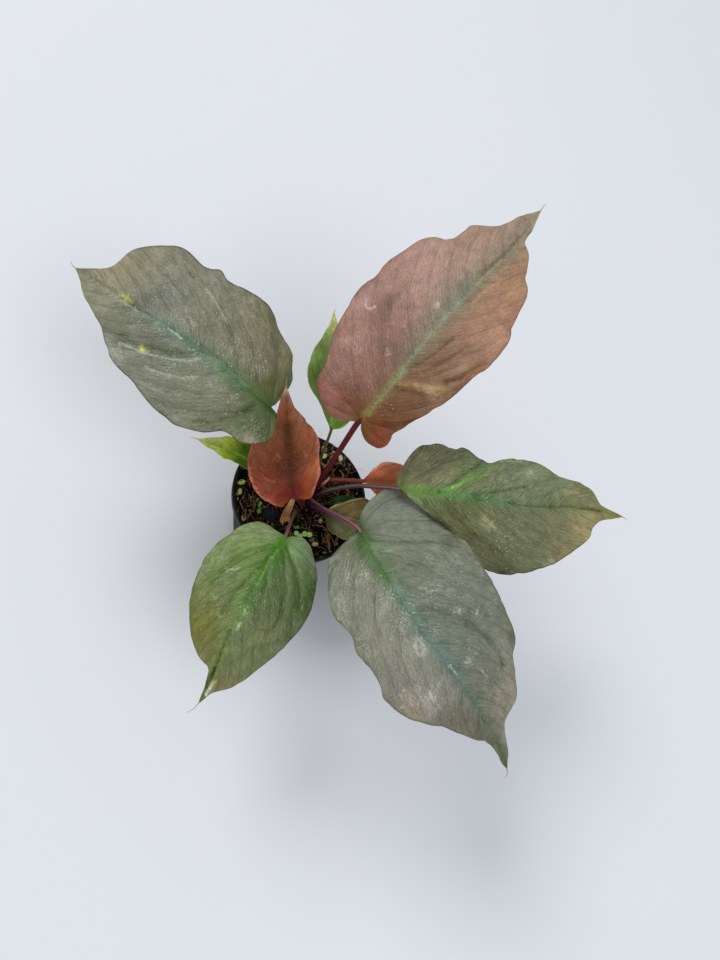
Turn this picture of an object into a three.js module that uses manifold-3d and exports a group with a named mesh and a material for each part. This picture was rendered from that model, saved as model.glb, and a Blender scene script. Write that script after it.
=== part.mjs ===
// A young homalomena in a round nursery pot: five large arching leaves, six small ones,
// the short stem and roots that carry them, the potting mix and the pot.
// Millimetres, +Z up, origin at the middle of the pot's base.
import * as THREE from 'three';
import { mergeVertices } from 'three/addons/utils/BufferGeometryUtils.js';
import Module from 'manifold-3d';

const wasm = await Module();
wasm.setup();

// Driving dimensions of the pot
const POT_HEIGHT = 70;
const RIM_RADIUS = 39;
const RIM_BAND_HEIGHT = 8;
const WALL_TOP_RADIUS = 37;
const BASE_RADIUS = 28;
const WALL = 1.2;
const FLOOR = 1.6;
const DRAIN_RADIUS = 3;
const DRAIN_RING = 19;
const DRAIN_COUNT = 6;
const POT_SIDES = 48;

// Potting mix
const SOIL_LEVEL = 64.5;
const SOIL_RINGS = 13;
const SOIL_SIDES = 44;
const CLEARANCE = 0.4;

// Leaf blades
const BLADE_THICKNESS = 0.8;
const KEEL_DEPTH = 1.5;
const TIP_HALF_WIDTH = 0.4;
const VEIN_SWEEP = 0.11;
const VEIN_BOW = 0.45;
const FRAME_REACH = 0.16;
const LOBE_TOP = 0.16;
const LOBE_SPAN = 0.26;
const LOBE_WIDTH = 0.2;
const LEAST_FOOT_STEP = 0.25;
const CURVE_STEPS = 16;

// Short stem
const STEM_CENTRE = new THREE.Vector2(3, -1);
const STEM_TOP = 70;
const STEM_FOOT = 46;
const STEM_RADIUS = 4;

// Each leaf has its midrib as points in space from the base of the blade to the tip, and its two
// margins as [distance from the midrib, distance along it] on the flat blade, from the notch at the
// base round the lobe to the tip. Left and right are as seen from the base with the top face up.
// roll twists the blade about its midrib, in degrees, at the base and at the tip. For the left and
// right halves, fold is the slope at the midrib in degrees, bow the droop towards the margin in
// mm per 1000 square mm, lobe the lift of the basal lobe in mm, and wave the height, count and
// phase of the undulations along the margin. stalk is the middle line of the leaf stalk from its
// foot up, and girth its [half width, half thickness] at the foot, where it sheathes, and on top.
const LEAVES = {
  a: {
    rib: [[-32, 18, 140], [-55, 31, 147], [-80, 46, 149], [-104, 63, 142], [-130, 84, 131]],
    left: [[0.6, -2], [4, -6], [9, -9], [17, -9], [23, -5], [26, 2], [26, 10], [32, 18], [36, 30],
      [34, 44], [31, 56], [26, 72], [19, 85], [12, 98], [5, 112]],
    right: [[3, -1], [10, -1.5], [16, -2], [23, -1], [30, 6], [38, 19], [42, 32], [42, 43], [38, 52],
      [39, 62], [37, 69], [38, 78], [35, 89], [29, 97], [20, 102], [9, 108], [3, 116]],
    roll: [-4, 30], fold: [3, 3], bow: [3, 3], lobe: [5, -2],
    wave: [[1.2, 5.5, 0.3], [1.8, 6.5, 0]],
    stalk: [[-0.4, 2.6, 58], [-4, 7, 80], [-10, 12, 100], [-22, 17, 122], [-31.9, 18.2, 137.8]],
    girth: [[2.6, 1.7], [1.3, 1.2]], blade: 0x64665a, stem: 0x6a2a3c,
  },
  b: {
    rib: [[14, 18, 140], [26, 33, 158], [41, 55, 174], [59, 78, 183], [81, 103, 187], [100, 132, 186]],
    left: [[1, -2], [4, -4], [9, -7], [16, -10], [24, -9], [30, -2], [34, 9], [39, 17], [40, 26],
      [42, 39], [43, 52], [39, 61], [40, 73], [37, 82], [32, 94], [26, 100], [24, 112], [16, 121],
      [10, 136], [4, 148]],
    right: [[1, -1], [3, -3], [7, -5], [13, -6], [18, -4], [19, 1], [17, 7], [20, 17], [24, 28],
      [28, 42], [31, 55], [32, 67], [32, 79], [27, 89], [24, 100], [18, 110], [11, 119], [4, 129],
      [3, 140]],
    roll: [8, 0], fold: [6, 6], bow: [5, 5], lobe: [0, -3],
    wave: [[1.6, 6.5, 0.1], [1.6, 7, 0.5]],
    stalk: [[6, 3.6, 58], [7.6, 5, 82], [9.4, 9, 104], [11.8, 14.4, 124], [13.5, 17.9, 137.9]],
    girth: [[2.6, 1.9], [1.5, 1.4]], blade: 0x8a6c62, stem: 0x4f1f2c,
  },
  c: {
    rib: [[41, -9, 121], [70, -15, 135], [105, -17, 138], [137, -14, 135], [171, -14, 127]],
    left: [[2, -2], [11, -1], [19, 1], [26, 4], [31, 11], [33, 17], [29, 27], [30, 33], [25, 42],
      [23, 48], [26, 59], [29, 72], [25, 81], [20, 90], [18, 99], [12, 110], [5, 117], [2, 126]],
    right: [[1, 1], [2.6, 4], [4.6, 9], [6.8, 14.6], [10, 18], [13.2, 21.6], [16.4, 26.4],
      [18.6, 32], [22.4, 37.6], [27.6, 41.6], [32, 46], [34.6, 51], [34.6, 61], [33, 72], [29, 84],
      [22, 96], [16, 106], [9, 111], [4, 119], [2, 129]],
    roll: [4, 0], fold: [3, 3], bow: [7, 10], lobe: [2, -2],
    wave: [[1.8, 6, 0.2], [1.2, 5, 0.4]],
    stalk: [[10, 1.6, 58], [10.8, 0.8, 73], [15.3, -0.2, 85.5], [24.4, -2.1, 99.5],
      [33, -6, 111.5], [40.7, -8.7, 119.2]],
    girth: [[2.2, 1.6], [1.2, 1.1]], blade: 0x5f6b4c, stem: 0x584050,
  },
  d: {
    rib: [[17, -36, 128], [28, -60, 137], [44, -86, 140], [63, -105, 134], [86, -128, 120],
      [102, -146, 104]],
    left: [[2, -4], [4, -7], [8, -11], [14, -15], [22, -18], [30, -21], [36, -21], [42, -18],
      [47, -12], [47, -3], [46, 6], [44, 16], [47, 24], [48, 34], [49, 45], [49, 58], [48, 70],
      [47, 80], [43, 91], [36, 100], [31, 106], [27, 114], [19, 120], [11, 124], [6, 133], [3, 142]],
    right: [[1, 0], [4, 1], [9, 3], [16, 5], [22, 11], [28, 19], [31, 27], [32, 35], [31, 42],
      [32, 48], [30, 57], [34, 67], [32, 75], [30, 84], [25, 95], [17, 105], [10, 117], [4, 127],
      [3, 137]],
    roll: [0, 0], fold: [6, 6], bow: [4, 4], lobe: [-8, -3],
    wave: [[1.4, 7, 0.3], [1.8, 6.5, 0.1]],
    stalk: [[6.6, -4.6, 58], [5.6, -5.6, 72], [5.6, -9.8, 82], [8.2, -16.6, 95.6],
      [12.6, -25.4, 111.4], [16.8, -34.9, 125.9]],
    girth: [[1.8, 5.8], [1.3, 1.3]], blade: 0x6b6e66, stem: 0x6f3c50,
  },
  e: {
    rib: [[-16, -37, 108], [-24, -50, 115], [-34, -70, 118], [-42, -87, 113], [-47, -104, 101],
      [-51, -117, 88]],
    left: [[1, -1], [4, -4], [9, -7], [15, -4], [20, 3], [25, 11], [28, 21], [29, 34], [28, 43],
      [26, 53], [23, 65], [18, 74], [13, 83], [7, 89], [3, 94]],
    right: [[1, -0.5], [6, -1], [13, -1], [17, 2], [21, 11], [24, 18], [27, 30], [27, 39], [25, 50],
      [21, 58], [16, 66], [9, 74], [3, 79], [2, 86]],
    roll: [0, 0], fold: [3, 3], bow: [6, 6], lobe: [0, 0],
    wave: [[0.7, 5, 0], [0.7, 5, 0.5]],
    stalk: [[-3.4, -7.2, 58], [-3.8, -10.8, 73], [-8.8, -21.4, 88], [-15.8, -36.4, 106.8]],
    girth: [[1.9, 1.3], [0.9, 0.9]], blade: 0x58703f, stem: 0x6b5a58,
  },
  f: {
    rib: [[-10, -11, 98], [-17, 3, 116], [-22, 16, 132], [-26, 27, 147]],
    left: [[1, -1], [4, -1], [8, -2], [12, 0], [17, 6], [20, 12], [22, 20], [22, 29], [20, 36],
      [14, 41], [8, 45], [5, 52], [3, 60]],
    right: [[1, -1.5], [3, -2], [8, -2], [12, 2], [15, 10], [16, 20], [15, 32], [14, 41], [9, 49],
      [4, 54], [2, 60]],
    roll: [10, 0], fold: [8, 20], bow: [4, 4], lobe: [0, 0],
    wave: [[0.6, 4, 0.2], [0.8, 4, 0.1]],
    stalk: [[0.6, -7, 58], [0.6, -7.4, 70], [-4.1, -8.8, 84], [-9.8, -11.2, 96.5]],
    girth: [[1.5, 1.1], [0.8, 0.8]], blade: 0x824632, stem: 0x8c2434,
  },
  g: {
    rib: [[10, 30, 98], [6, 48, 111], [4, 70, 121], [3, 87, 126]],
    left: [[0.8, 0.5], [3, 8], [8, 18], [11, 22], [14, 30], [13, 37], [10, 45], [6, 51], [2, 59]],
    right: [[0.8, 0.2], [6, 1], [11, 5], [13, 13], [13, 25], [11, 37], [7, 47], [3, 57]],
    roll: [0, 0], fold: [10, 10], bow: [6, 6], lobe: [0, 0],
    wave: [[0.8, 4, 0.2], [0.6, 4, 0]],
    stalk: [[10.4, 17.5, 60], [9.6, 21.4, 78], [10, 29.8, 97]],
    girth: [[1.4, 1.1], [0.8, 0.8]], blade: 0x4f7a3c, stem: 0x5f5a32,
  },
  h: {
    rib: [[-18, 6, 84], [-35, 9, 93], [-53, 14, 97], [-62, 16, 96]],
    left: [[0.8, 0.6], [4, 4], [7, 12], [6, 20], [5, 27], [6, 33], [4, 40], [2, 45]],
    right: [[0.8, 0.6], [4, 4], [7, 13], [9, 23], [7, 33], [4, 38], [1.4, 44]],
    roll: [0, 0], fold: [12, 12], bow: [0, 0], lobe: [0, 0],
    wave: [[0.4, 3, 0], [0.4, 3, 0.5]],
    stalk: [[-8, 5.4, 60], [-11.5, 5.6, 72], [-17.6, 5.8, 83.2]],
    girth: [[1.3, 1], [0.8, 0.8]], blade: 0x5f8c1e, stem: 0x55662a,
  },
  i: {
    rib: [[31, 5, 92], [48, 4, 96], [73, 6, 96]],
    left: [[1, 0], [3, 2], [6, 4], [9, 7], [11, 10], [11, 17], [10, 23], [7, 29], [3, 36]],
    right: [[1, 0.5], [5, 4], [10, 8], [11, 12], [10, 18], [7, 25], [3, 34]],
    roll: [0, 0], fold: [12, 12], bow: [6, 6], lobe: [0, 0],
    wave: [[0.6, 3, 0], [0.5, 3, 0.4]],
    stalk: [[14.6, 10, 58], [14.4, 9.2, 70], [17.4, 6.9, 82], [30.6, 4.5, 91]],
    girth: [[1.7, 1.2], [1.1, 1]], blade: 0x8c5038, stem: 0x7c3034,
  },
  j: {
    rib: [[12.6, -13.6, 80], [21, -15, 83], [31, -17, 85], [52, -19, 83]],
    left: [[1, 0], [3, 0.5], [6, 4], [8, 7], [11, 12], [13, 18], [13, 24], [11, 31], [5, 37]],
    right: [[1, 0], [3, 0], [6, 1], [9, 3.5], [12, 8], [13, 14], [12, 21], [8, 29], [4, 36]],
    roll: [0, 0], fold: [8, 8], bow: [6, 6], lobe: [0, 0],
    wave: [[0.6, 3, 0], [0.6, 3, 0.3]],
    stalk: [[15.5, -9.5, 58], [14, -11.4, 69], [12.6, -13.3, 77.5]],
    girth: [[1.2, 1], [0.8, 0.8]], blade: 0x5a5034, stem: 0x5a4a30,
  },
  k: {
    rib: [[16.4, -3.6, 74], [22, -4, 75], [37.4, -4.4, 76]],
    left: [[0.8, 0.2], [3, 3], [4.4, 8], [4, 13], [2, 18]],
    right: [[0.8, 0.2], [3.6, 3], [5, 8], [4.4, 13], [2, 18]],
    roll: [0, 0], fold: [12, 12], bow: [0, 0], lobe: [0, 0],
    wave: [[0.3, 3, 0], [0.3, 3, 0.5]],
    stalk: [[16, -1.6, 58], [16, -2.6, 67], [16.2, -3.3, 71.5]],
    girth: [[1, 0.9], [0.7, 0.7]], blade: 0x2f5a14, stem: 0x4a6a24,
  },
};
const LARGE = 'abcde';

const homalomena = new THREE.Group();

function addPiece(name, geometry, colour, roughness) {
  const material = new THREE.MeshStandardMaterial({ color: colour, roughness, metalness: 0 });
  const mesh = new THREE.Mesh(geometry, material);
  mesh.name = name;
  homalomena.add(mesh);
}

// Repeatable random numbers between 0 and 1
function randomStream(seed) {
  let state = seed;
  return () => {
    state = (Math.imul(state, 1664525) + 1013904223) >>> 0;
    return state / 4294967296;
  };
}

const clamp01 = (value) => Math.min(1, Math.max(0, value));
const smooth01 = (value) => clamp01(value) ** 2 * (3 - 2 * clamp01(value));

// A polyline along a smooth curve through points of any dimension, with its running length
function smoothLine(points, steps) {
  const mirror = (p, q) => p.map((value, axis) => 2 * value - q[axis]);
  const last = points.length - 1;
  const padded = [mirror(points[0], points[1]), ...points, mirror(points[last], points[last - 1])];
  const line = [];
  for (let i = 0; i < last; i += 1) {
    const [p0, p1, p2, p3] = padded.slice(i, i + 4);
    for (let k = 0; k < steps; k += 1) {
      const t = k / steps;
      line.push(p1.map((_, axis) => 0.5 * (2 * p1[axis] + (p2[axis] - p0[axis]) * t
        + (2 * p0[axis] - 5 * p1[axis] + 4 * p2[axis] - p3[axis]) * t * t
        + (3 * p1[axis] - p0[axis] - 3 * p2[axis] + p3[axis]) * t * t * t)));
    }
  }
  line.push(points[last]);
  const run = [0];
  for (let i = 1; i < line.length; i += 1) {
    run.push(run[i - 1] + Math.hypot(...line[i].map((value, axis) => value - line[i - 1][axis])));
  }
  return { line, run, length: run[run.length - 1] };
}

// The point at a distance along such a polyline
function pointAlong(path, distance) {
  const d = Math.min(path.length, Math.max(0, distance));
  let i = 1;
  while (i < path.run.length - 1 && path.run[i] < d) i += 1;
  const share = (d - path.run[i - 1]) / (path.run[i] - path.run[i - 1]);
  return path.line[i - 1].map((value, axis) => value + (path.line[i][axis] - value) * share);
}

// The same in space, running straight on past both ends
function spacePoint(path, distance) {
  const point = new THREE.Vector3(...pointAlong(path, distance));
  const past = distance < 0 ? distance : Math.max(0, distance - path.length);
  if (past === 0) return point;
  const end = distance < 0 ? 1 : path.line.length - 1;
  const run = new THREE.Vector3(...path.line[end]).sub(new THREE.Vector3(...path.line[end - 1]));
  return point.addScaledVector(run.normalize(), past);
}

const UP = new THREE.Vector3(0, 0, 1);

// Level direction to the right of a run, and the direction square to both
function squareTo(run) {
  const across = new THREE.Vector3().crossVectors(run, UP).normalize();
  const rise = new THREE.Vector3().crossVectors(across, run).normalize();
  return { across, rise };
}

// A closed body from a grid of top points and the grid of bottom points under it
function closedSheet(top, bottom) {
  const rows = top.length;
  const columns = top[0].length;
  const positions = [];
  [top, bottom].forEach((grid) => grid.forEach((row) => row.forEach((p) => positions.push(...p))));
  const at = (row, column) => row * columns + column;
  const under = (row, column) => rows * columns + at(row, column);
  const index = [];
  const middle = (columns - 1) / 2;
  for (let r = 0; r < rows - 1; r += 1) {
    for (let c = 0; c < columns - 1; c += 1) {
      const corners = [[r, c], [r, c + 1], [r + 1, c + 1], [r + 1, c]];
      const turned = c < middle ? [1, 2, 3, 0] : [0, 1, 2, 3];
      const [p, q, s, t] = turned.map((k) => corners[k]);
      index.push(at(...p), at(...q), at(...s), at(...p), at(...s), at(...t));
      index.push(under(...p), under(...s), under(...q), under(...p), under(...t), under(...s));
    }
  }
  const wall = (p, q) => index.push(at(...q), at(...p), under(...p), at(...q), under(...p), under(...q));
  for (let c = 0; c < columns - 1; c += 1) {
    wall([0, c], [0, c + 1]);
    wall([rows - 1, c + 1], [rows - 1, c]);
  }
  for (let r = 0; r < rows - 1; r += 1) {
    wall([r, columns - 1], [r + 1, columns - 1]);
    wall([r + 1, 0], [r, 0]);
  }
  return outward(positions, index);
}

// An indexed geometry whose faces point out of the body
function outward(positions, index) {
  let volume = 0;
  const corner = (i) => new THREE.Vector3().fromArray(positions, index[i] * 3);
  for (let i = 0; i < index.length; i += 3) {
    volume += corner(i).dot(corner(i + 1).cross(corner(i + 2)));
  }
  const faces = index.slice();
  if (volume < 0) {
    for (let i = 0; i < faces.length; i += 3) [faces[i + 1], faces[i + 2]] = [index[i + 2], index[i + 1]];
  }
  const geometry = new THREE.BufferGeometry();
  geometry.setAttribute('position', new THREE.Float32BufferAttribute(positions, 3));
  geometry.setIndex(faces);
  return geometry;
}

// Height of a blade above its midrib plane
function bladeHeight(leaf, side, across, along, length) {
  const slope = Math.tan(THREE.MathUtils.degToRad(leaf.fold[side]));
  const near = clamp01((LOBE_TOP * length - along) / (LOBE_SPAN * length)) ** 2;
  const lobe = leaf.lobe[side] * near * Math.min(1.5, across / (LOBE_WIDTH * length));
  return slope * across - leaf.bow[side] * across * across / 1000 + lobe;
}

// Point of a blade, and the direction through its thickness
function bladePoint(leaf, rib, side, across, along, lift) {
  const y = Math.min(rib.length, Math.max(0, along));
  const reach = FRAME_REACH * rib.length;
  const run = spacePoint(rib, y + reach).sub(spacePoint(rib, y - reach)).normalize();
  const frame = squareTo(run);
  const turn = THREE.MathUtils.degToRad(leaf.roll[0] + (leaf.roll[1] - leaf.roll[0]) * (y / rib.length));
  const right = frame.across.clone().multiplyScalar(Math.cos(turn))
    .addScaledVector(frame.rise, Math.sin(turn));
  const normal = frame.rise.clone().multiplyScalar(Math.cos(turn))
    .addScaledVector(frame.across, -Math.sin(turn));
  const height = bladeHeight(leaf, side, across, along, rib.length) + lift;
  const point = spacePoint(rib, along).addScaledVector(right, side === 0 ? -across : across)
    .addScaledVector(normal, height);
  return { point, normal };
}

// A blade as a grid whose rows follow the side veins from the midrib to the margin
function bladeGeometry(leaf, rows, shares) {
  const rib = smoothLine(leaf.rib, CURVE_STEPS);
  const margins = [leaf.left, leaf.right].map((side) => (
    smoothLine([...side, [TIP_HALF_WIDTH, rib.length]], CURVE_STEPS)));
  const top = [];
  const bottom = [];
  let foot = 0;
  for (let r = 0; r <= rows; r += 1) {
    const t = r / rows;
    const ends = margins.map((margin) => pointAlong(margin, t * margin.length));
    const swept = Math.min(ends[0][1], ends[1][1]) - VEIN_SWEEP * rib.length * (1 - t);
    if (r > 0) foot = Math.max(swept, foot + LEAST_FOOT_STEP);
    if (r === rows) foot = rib.length;
    const topRow = [];
    const bottomRow = [];
    const columns = [...shares.slice(1).reverse().map((u) => [0, u]), ...shares.map((u) => [1, u])];
    columns.forEach(([side, u]) => {
      const bend = u * (1 - VEIN_BOW) + u * u * VEIN_BOW;
      const along = foot + (ends[side][1] - foot) * bend;
      const [height, count, phase] = leaf.wave[side];
      const lift = height * u ** 3 * Math.sin(2 * Math.PI * (count * t + phase)) * smooth01(8 * (1 - t));
      const { point, normal } = bladePoint(leaf, rib, side, ends[side][0] * u, along, lift);
      const keel = u === 0 ? KEEL_DEPTH * (1 - 0.85 * t) : 0;
      topRow.push(point.toArray());
      bottomRow.push(point.addScaledVector(normal, -BLADE_THICKNESS - keel).toArray());
    });
    top.push(topRow);
    bottom.push(bottomRow);
  }
  return closedSheet(top, bottom);
}

// A closed limb along a smooth line, with an oval section of changing half width and half thickness,
// grown on every side by a margin when it cuts room for itself. The section doesn't turn about the
// line: its width is level at the far end and is carried from there back to the foot.
function limbGeometry(points, rings, sides, sectionAt, margin = 0) {
  const path = smoothLine(points, CURVE_STEPS);
  const circles = [];
  let across = null;
  for (let r = rings; r >= 0; r -= 1) {
    const t = r / rings;
    const middle = spacePoint(path, t * path.length);
    const ahead = spacePoint(path, t * path.length + 1);
    const run = ahead.sub(spacePoint(path, t * path.length - 1)).normalize();
    across = across ? across.addScaledVector(run, -across.dot(run)).normalize() : squareTo(run).across;
    const rise = new THREE.Vector3().crossVectors(across, run);
    const grown = sectionAt(t).map((half) => half + margin / Math.cos(Math.PI / sides));
    if (r === 0) middle.addScaledVector(run, -margin);
    if (r === rings) middle.addScaledVector(run, margin);
    circles.unshift(Array.from({ length: sides }, (_, s) => {
      const angle = 2 * Math.PI * (s / sides);
      return middle.clone().addScaledVector(across, grown[0] * Math.cos(angle))
        .addScaledVector(rise, grown[1] * Math.sin(angle)).toArray();
    }).flat());
  }
  const index = [];
  for (let r = 0; r < rings; r += 1) {
    for (let s = 0; s < sides; s += 1) {
      const [p, q] = [r * sides + s, r * sides + ((s + 1) % sides)];
      index.push(p, q, q + sides, p, q + sides, p + sides);
    }
  }
  const end = rings * sides;
  for (let s = 1; s < sides - 1; s += 1) index.push(0, s + 1, s, end, end + s, end + s + 1);
  return outward(circles.flat(), index);
}

// Section of a leaf stalk: a sheathing foot that narrows into the round upper part
function stalkGeometry(leaf, margin) {
  const [[wideFoot, deepFoot], [wideTop, deepTop]] = leaf.girth;
  const sectionAt = (t) => {
    const share = (1 - smooth01(t / 0.62)) ** 1.2;
    return [wideTop + (wideFoot - wideTop) * share, deepTop + (deepFoot - deepTop) * share];
  };
  return limbGeometry(leaf.stalk, leaf.stalk.length > 3 ? 12 : 8, 8, sectionAt, margin);
}

// Geometry to a boolean solid and back
function toSolid(geometry) {
  const bare = geometry.clone();
  bare.deleteAttribute('normal');
  bare.deleteAttribute('uv');
  const merged = mergeVertices(bare, 1e-4);
  return new wasm.Manifold(new wasm.Mesh({
    numProp: 3,
    vertProperties: new Float32Array(merged.attributes.position.array),
    triVerts: new Uint32Array(merged.index.array),
  }));
}

function toGeometry(solid) {
  const mesh = solid.getMesh();
  const geometry = new THREE.BufferGeometry();
  geometry.setAttribute('position', new THREE.Float32BufferAttribute(mesh.vertProperties, 3));
  geometry.setIndex(Array.from(mesh.triVerts));
  return geometry;
}

// Turned bodies have their profile as [radius, height]
function turned(profile, sides) {
  const geometry = new THREE.LatheGeometry(profile.map(([r, z]) => new THREE.Vector2(r, z)), sides);
  geometry.rotateX(Math.PI / 2);
  return geometry;
}

function wallRadius(z) {
  return BASE_RADIUS + (WALL_TOP_RADIUS - BASE_RADIUS) * (z / (POT_HEIGHT - RIM_BAND_HEIGHT));
}

function potGeometry() {
  const bandFoot = POT_HEIGHT - RIM_BAND_HEIGHT;
  const body = toSolid(turned([
    [0, 0], [BASE_RADIUS - 1.5, 0], [BASE_RADIUS, 1.5], [wallRadius(bandFoot), bandFoot],
    [RIM_RADIUS - 1, bandFoot + 0.3], [RIM_RADIUS - 0.4, bandFoot + 1.2], [RIM_RADIUS, POT_HEIGHT - 1.2],
    [RIM_RADIUS - 0.5, POT_HEIGHT - 0.3], [RIM_RADIUS - 1.2, POT_HEIGHT],
    [RIM_RADIUS - 2, POT_HEIGHT - 0.5], [RIM_RADIUS - 2.4, POT_HEIGHT - 1.5],
    [WALL_TOP_RADIUS - WALL, bandFoot], [BASE_RADIUS + 1 - WALL, FLOOR + 3],
    [BASE_RADIUS - 1 - WALL, FLOOR], [0, FLOOR],
  ], POT_SIDES));
  const drains = Array.from({ length: DRAIN_COUNT }, (_, i) => {
    const drain = turned([[0, -1], [DRAIN_RADIUS, -1], [DRAIN_RADIUS, FLOOR + 1], [0, FLOOR + 1]], 12);
    const angle = (2 * Math.PI * (i + 0.5)) / DRAIN_COUNT;
    drain.translate(DRAIN_RING * Math.cos(angle), DRAIN_RING * Math.sin(angle), 0);
    return toSolid(drain);
  });
  return toGeometry(drains.reduce((pot, drain) => pot.subtract(drain), body));
}

// Height of the potting mix: a low mound round the stem, lumps of bark and a worn hollow at the wall
const lumpStream = randomStream(41);
const LUMPS = Array.from({ length: 46 }, () => {
  const radius = 33 * Math.sqrt(lumpStream());
  const angle = 2 * Math.PI * lumpStream();
  return {
    x: radius * Math.cos(angle),
    y: radius * Math.sin(angle),
    size: 2.5 + 3.5 * lumpStream(),
    height: 0.6 + 1.9 * lumpStream(),
  };
});

function soilHeight(x, y) {
  const fromStem = Math.hypot(x - STEM_CENTRE.x, y - STEM_CENTRE.y);
  const fromAxis = Math.hypot(x, y);
  let height = SOIL_LEVEL + 1.2 * Math.exp(-((fromStem / 12) ** 2)) - 1.4 * smooth01((fromAxis - 28) / 8);
  LUMPS.forEach((lump) => {
    const away = Math.hypot(x - lump.x, y - lump.y) / lump.size;
    height += lump.height * Math.max(0, 1 - away * away) ** 1.5;
  });
  return height;
}

function soilGeometry() {
  const inner = (z) => Math.min(wallRadius(z), WALL_TOP_RADIUS) - WALL - CLEARANCE - 0.25;
  const foot = FLOOR + CLEARANCE;
  const edge = SOIL_LEVEL - 1.4;
  const positions = [0, 0, soilHeight(0, 0)];
  const index = [];
  const ring = (r) => 1 + r * SOIL_SIDES;
  for (let r = 0; r < SOIL_RINGS; r += 1) {
    const radius = inner(edge) * ((r + 1) / SOIL_RINGS) ** 0.85;
    for (let s = 0; s < SOIL_SIDES; s += 1) {
      const angle = 2 * Math.PI * ((s + 0.5 * (r % 2)) / SOIL_SIDES);
      const [x, y] = [radius * Math.cos(angle), radius * Math.sin(angle)];
      positions.push(x, y, r === SOIL_RINGS - 1 ? edge : soilHeight(x, y));
    }
  }
  const sideRings = [[inner(8) - 0.4, 8], [BASE_RADIUS - WALL - 2.2, foot]];
  sideRings.forEach(([radius, z]) => {
    for (let s = 0; s < SOIL_SIDES; s += 1) {
      const angle = 2 * Math.PI * ((s + 0.5 * ((SOIL_RINGS - 1) % 2)) / SOIL_SIDES);
      positions.push(radius * Math.cos(angle), radius * Math.sin(angle), z);
    }
  });
  positions.push(0, 0, foot);
  const next = (s) => (s + 1) % SOIL_SIDES;
  for (let s = 0; s < SOIL_SIDES; s += 1) index.push(0, ring(0) + s, ring(0) + next(s));
  const rings = SOIL_RINGS + sideRings.length;
  for (let r = 0; r < rings - 1; r += 1) {
    const stagger = r < SOIL_RINGS - 1 && r % 2 === 1;
    for (let s = 0; s < SOIL_SIDES; s += 1) {
      const [p, q, u, v] = [ring(r) + s, ring(r) + next(s), ring(r + 1) + s, ring(r + 1) + next(s)];
      if (stagger) index.push(p, v, q, p, u, v);
      else index.push(p, u, q, q, u, v);
    }
  }
  const centre = ring(rings);
  for (let s = 0; s < SOIL_SIDES; s += 1) {
    index.push(centre, ring(rings - 1) + next(s), ring(rings - 1) + s);
  }
  return outward(positions, index);
}

// Thick roots as [direction in degrees, reach outwards, depth, radius at the stem]
const ROOTS = [[20, 17, 44, 1.1], [85, 15, 40, 1], [150, 18, 46, 1.2], [205, 14, 38, 0.9],
  [265, 18, 45, 1.1], [325, 16, 49, 1.1]];

function rootGeometry([degrees, reach, depth, radius], margin) {
  const angle = THREE.MathUtils.degToRad(degrees);
  const [cos, sin] = [Math.cos(angle), Math.sin(angle)];
  const at = (out, down, aside) => [
    STEM_CENTRE.x + out * cos - aside * sin,
    STEM_CENTRE.y + out * sin + aside * cos,
    STEM_FOOT + 6 - down,
  ];
  const points = [at(1.6, 0, 0), at(reach * 0.35, depth * 0.18, 1.2), at(reach * 0.75, depth * 0.5, -1.4),
    at(reach, depth, 1.5)];
  return limbGeometry(points, 7, 6, (t) => Array(2).fill(radius * (1 - 0.45 * t)), margin);
}

// The short stem with its roots, wider by a margin when it cuts its own room in the potting mix
function stemSolid(margin) {
  const r = STEM_RADIUS + margin;
  const core = turned([[0, STEM_FOOT - margin], [r - 1.6, STEM_FOOT + 0.5 - margin], [r, STEM_FOOT + 5],
    [r - 0.3, STEM_FOOT + 9], [r + 0.2, STEM_FOOT + 10], [r - 0.3, STEM_FOOT + 14],
    [r + 0.1, STEM_FOOT + 15], [r - 0.6, STEM_TOP - 4], [r - 1.6, STEM_TOP - 1.2 + margin],
    [0, STEM_TOP + margin]], 16);
  core.translate(STEM_CENTRE.x, STEM_CENTRE.y, 0);
  return ROOTS.reduce((solid, root) => solid.add(toSolid(rootGeometry(root, margin))), toSolid(core));
}

// Old dry sheath hanging from the stem, a thin curled strip
const DRY_SHEATH = {
  line: [[-7.2, -6, 83.4], [-7.6, -8.8, 80], [-8.6, -12.2, 75.4], [-9.2, -15.6, 71.4]],
  halfWidths: [0.9, 1.6, 2.6, 2.2],
  curl: 0.8,
};

// A thin strip along a line, cupped across its width
function stripGeometry({ line, halfWidths, curl }, rows, columns, thickness) {
  const path = smoothLine(line, CURVE_STEPS);
  const widths = smoothLine(halfWidths.map((w, i) => [i, w]), CURVE_STEPS);
  const top = [];
  const bottom = [];
  for (let r = 0; r <= rows; r += 1) {
    const t = r / rows;
    const middle = spacePoint(path, t * path.length);
    const run = spacePoint(path, t * path.length + 1).sub(spacePoint(path, t * path.length - 1));
    const { across, rise } = squareTo(run.normalize());
    const half = widths.line[Math.round(t * (widths.line.length - 1))][1];
    const topRow = [];
    const bottomRow = [];
    for (let c = -columns; c <= columns; c += 1) {
      const u = c / columns;
      const point = middle.clone().addScaledVector(across, half * u)
        .addScaledVector(rise, curl * half * u * u);
      topRow.push(point.toArray());
      bottomRow.push(point.addScaledVector(rise, -thickness).toArray());
    }
    top.push(topRow);
    bottom.push(bottomRow);
  }
  return closedSheet(top, bottom);
}

// Pale pointed bud sheath beside the stem
const BUD_LINE = [[11.4, 7.8, 60], [11, 7, 70], [11.9, 6.3, 76], [13.1, 7.3, 82.5]];
const BUD_RADIUS = [1.5, 0.3];

function budSheathGeometry(margin) {
  const [foot, tip] = BUD_RADIUS;
  const sectionAt = (t) => {
    const radius = tip + (foot - tip) * (1 - t) ** 0.8;
    return [radius, 0.8 * radius];
  };
  return limbGeometry(BUD_LINE, 10, 8, sectionAt, margin);
}

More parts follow.
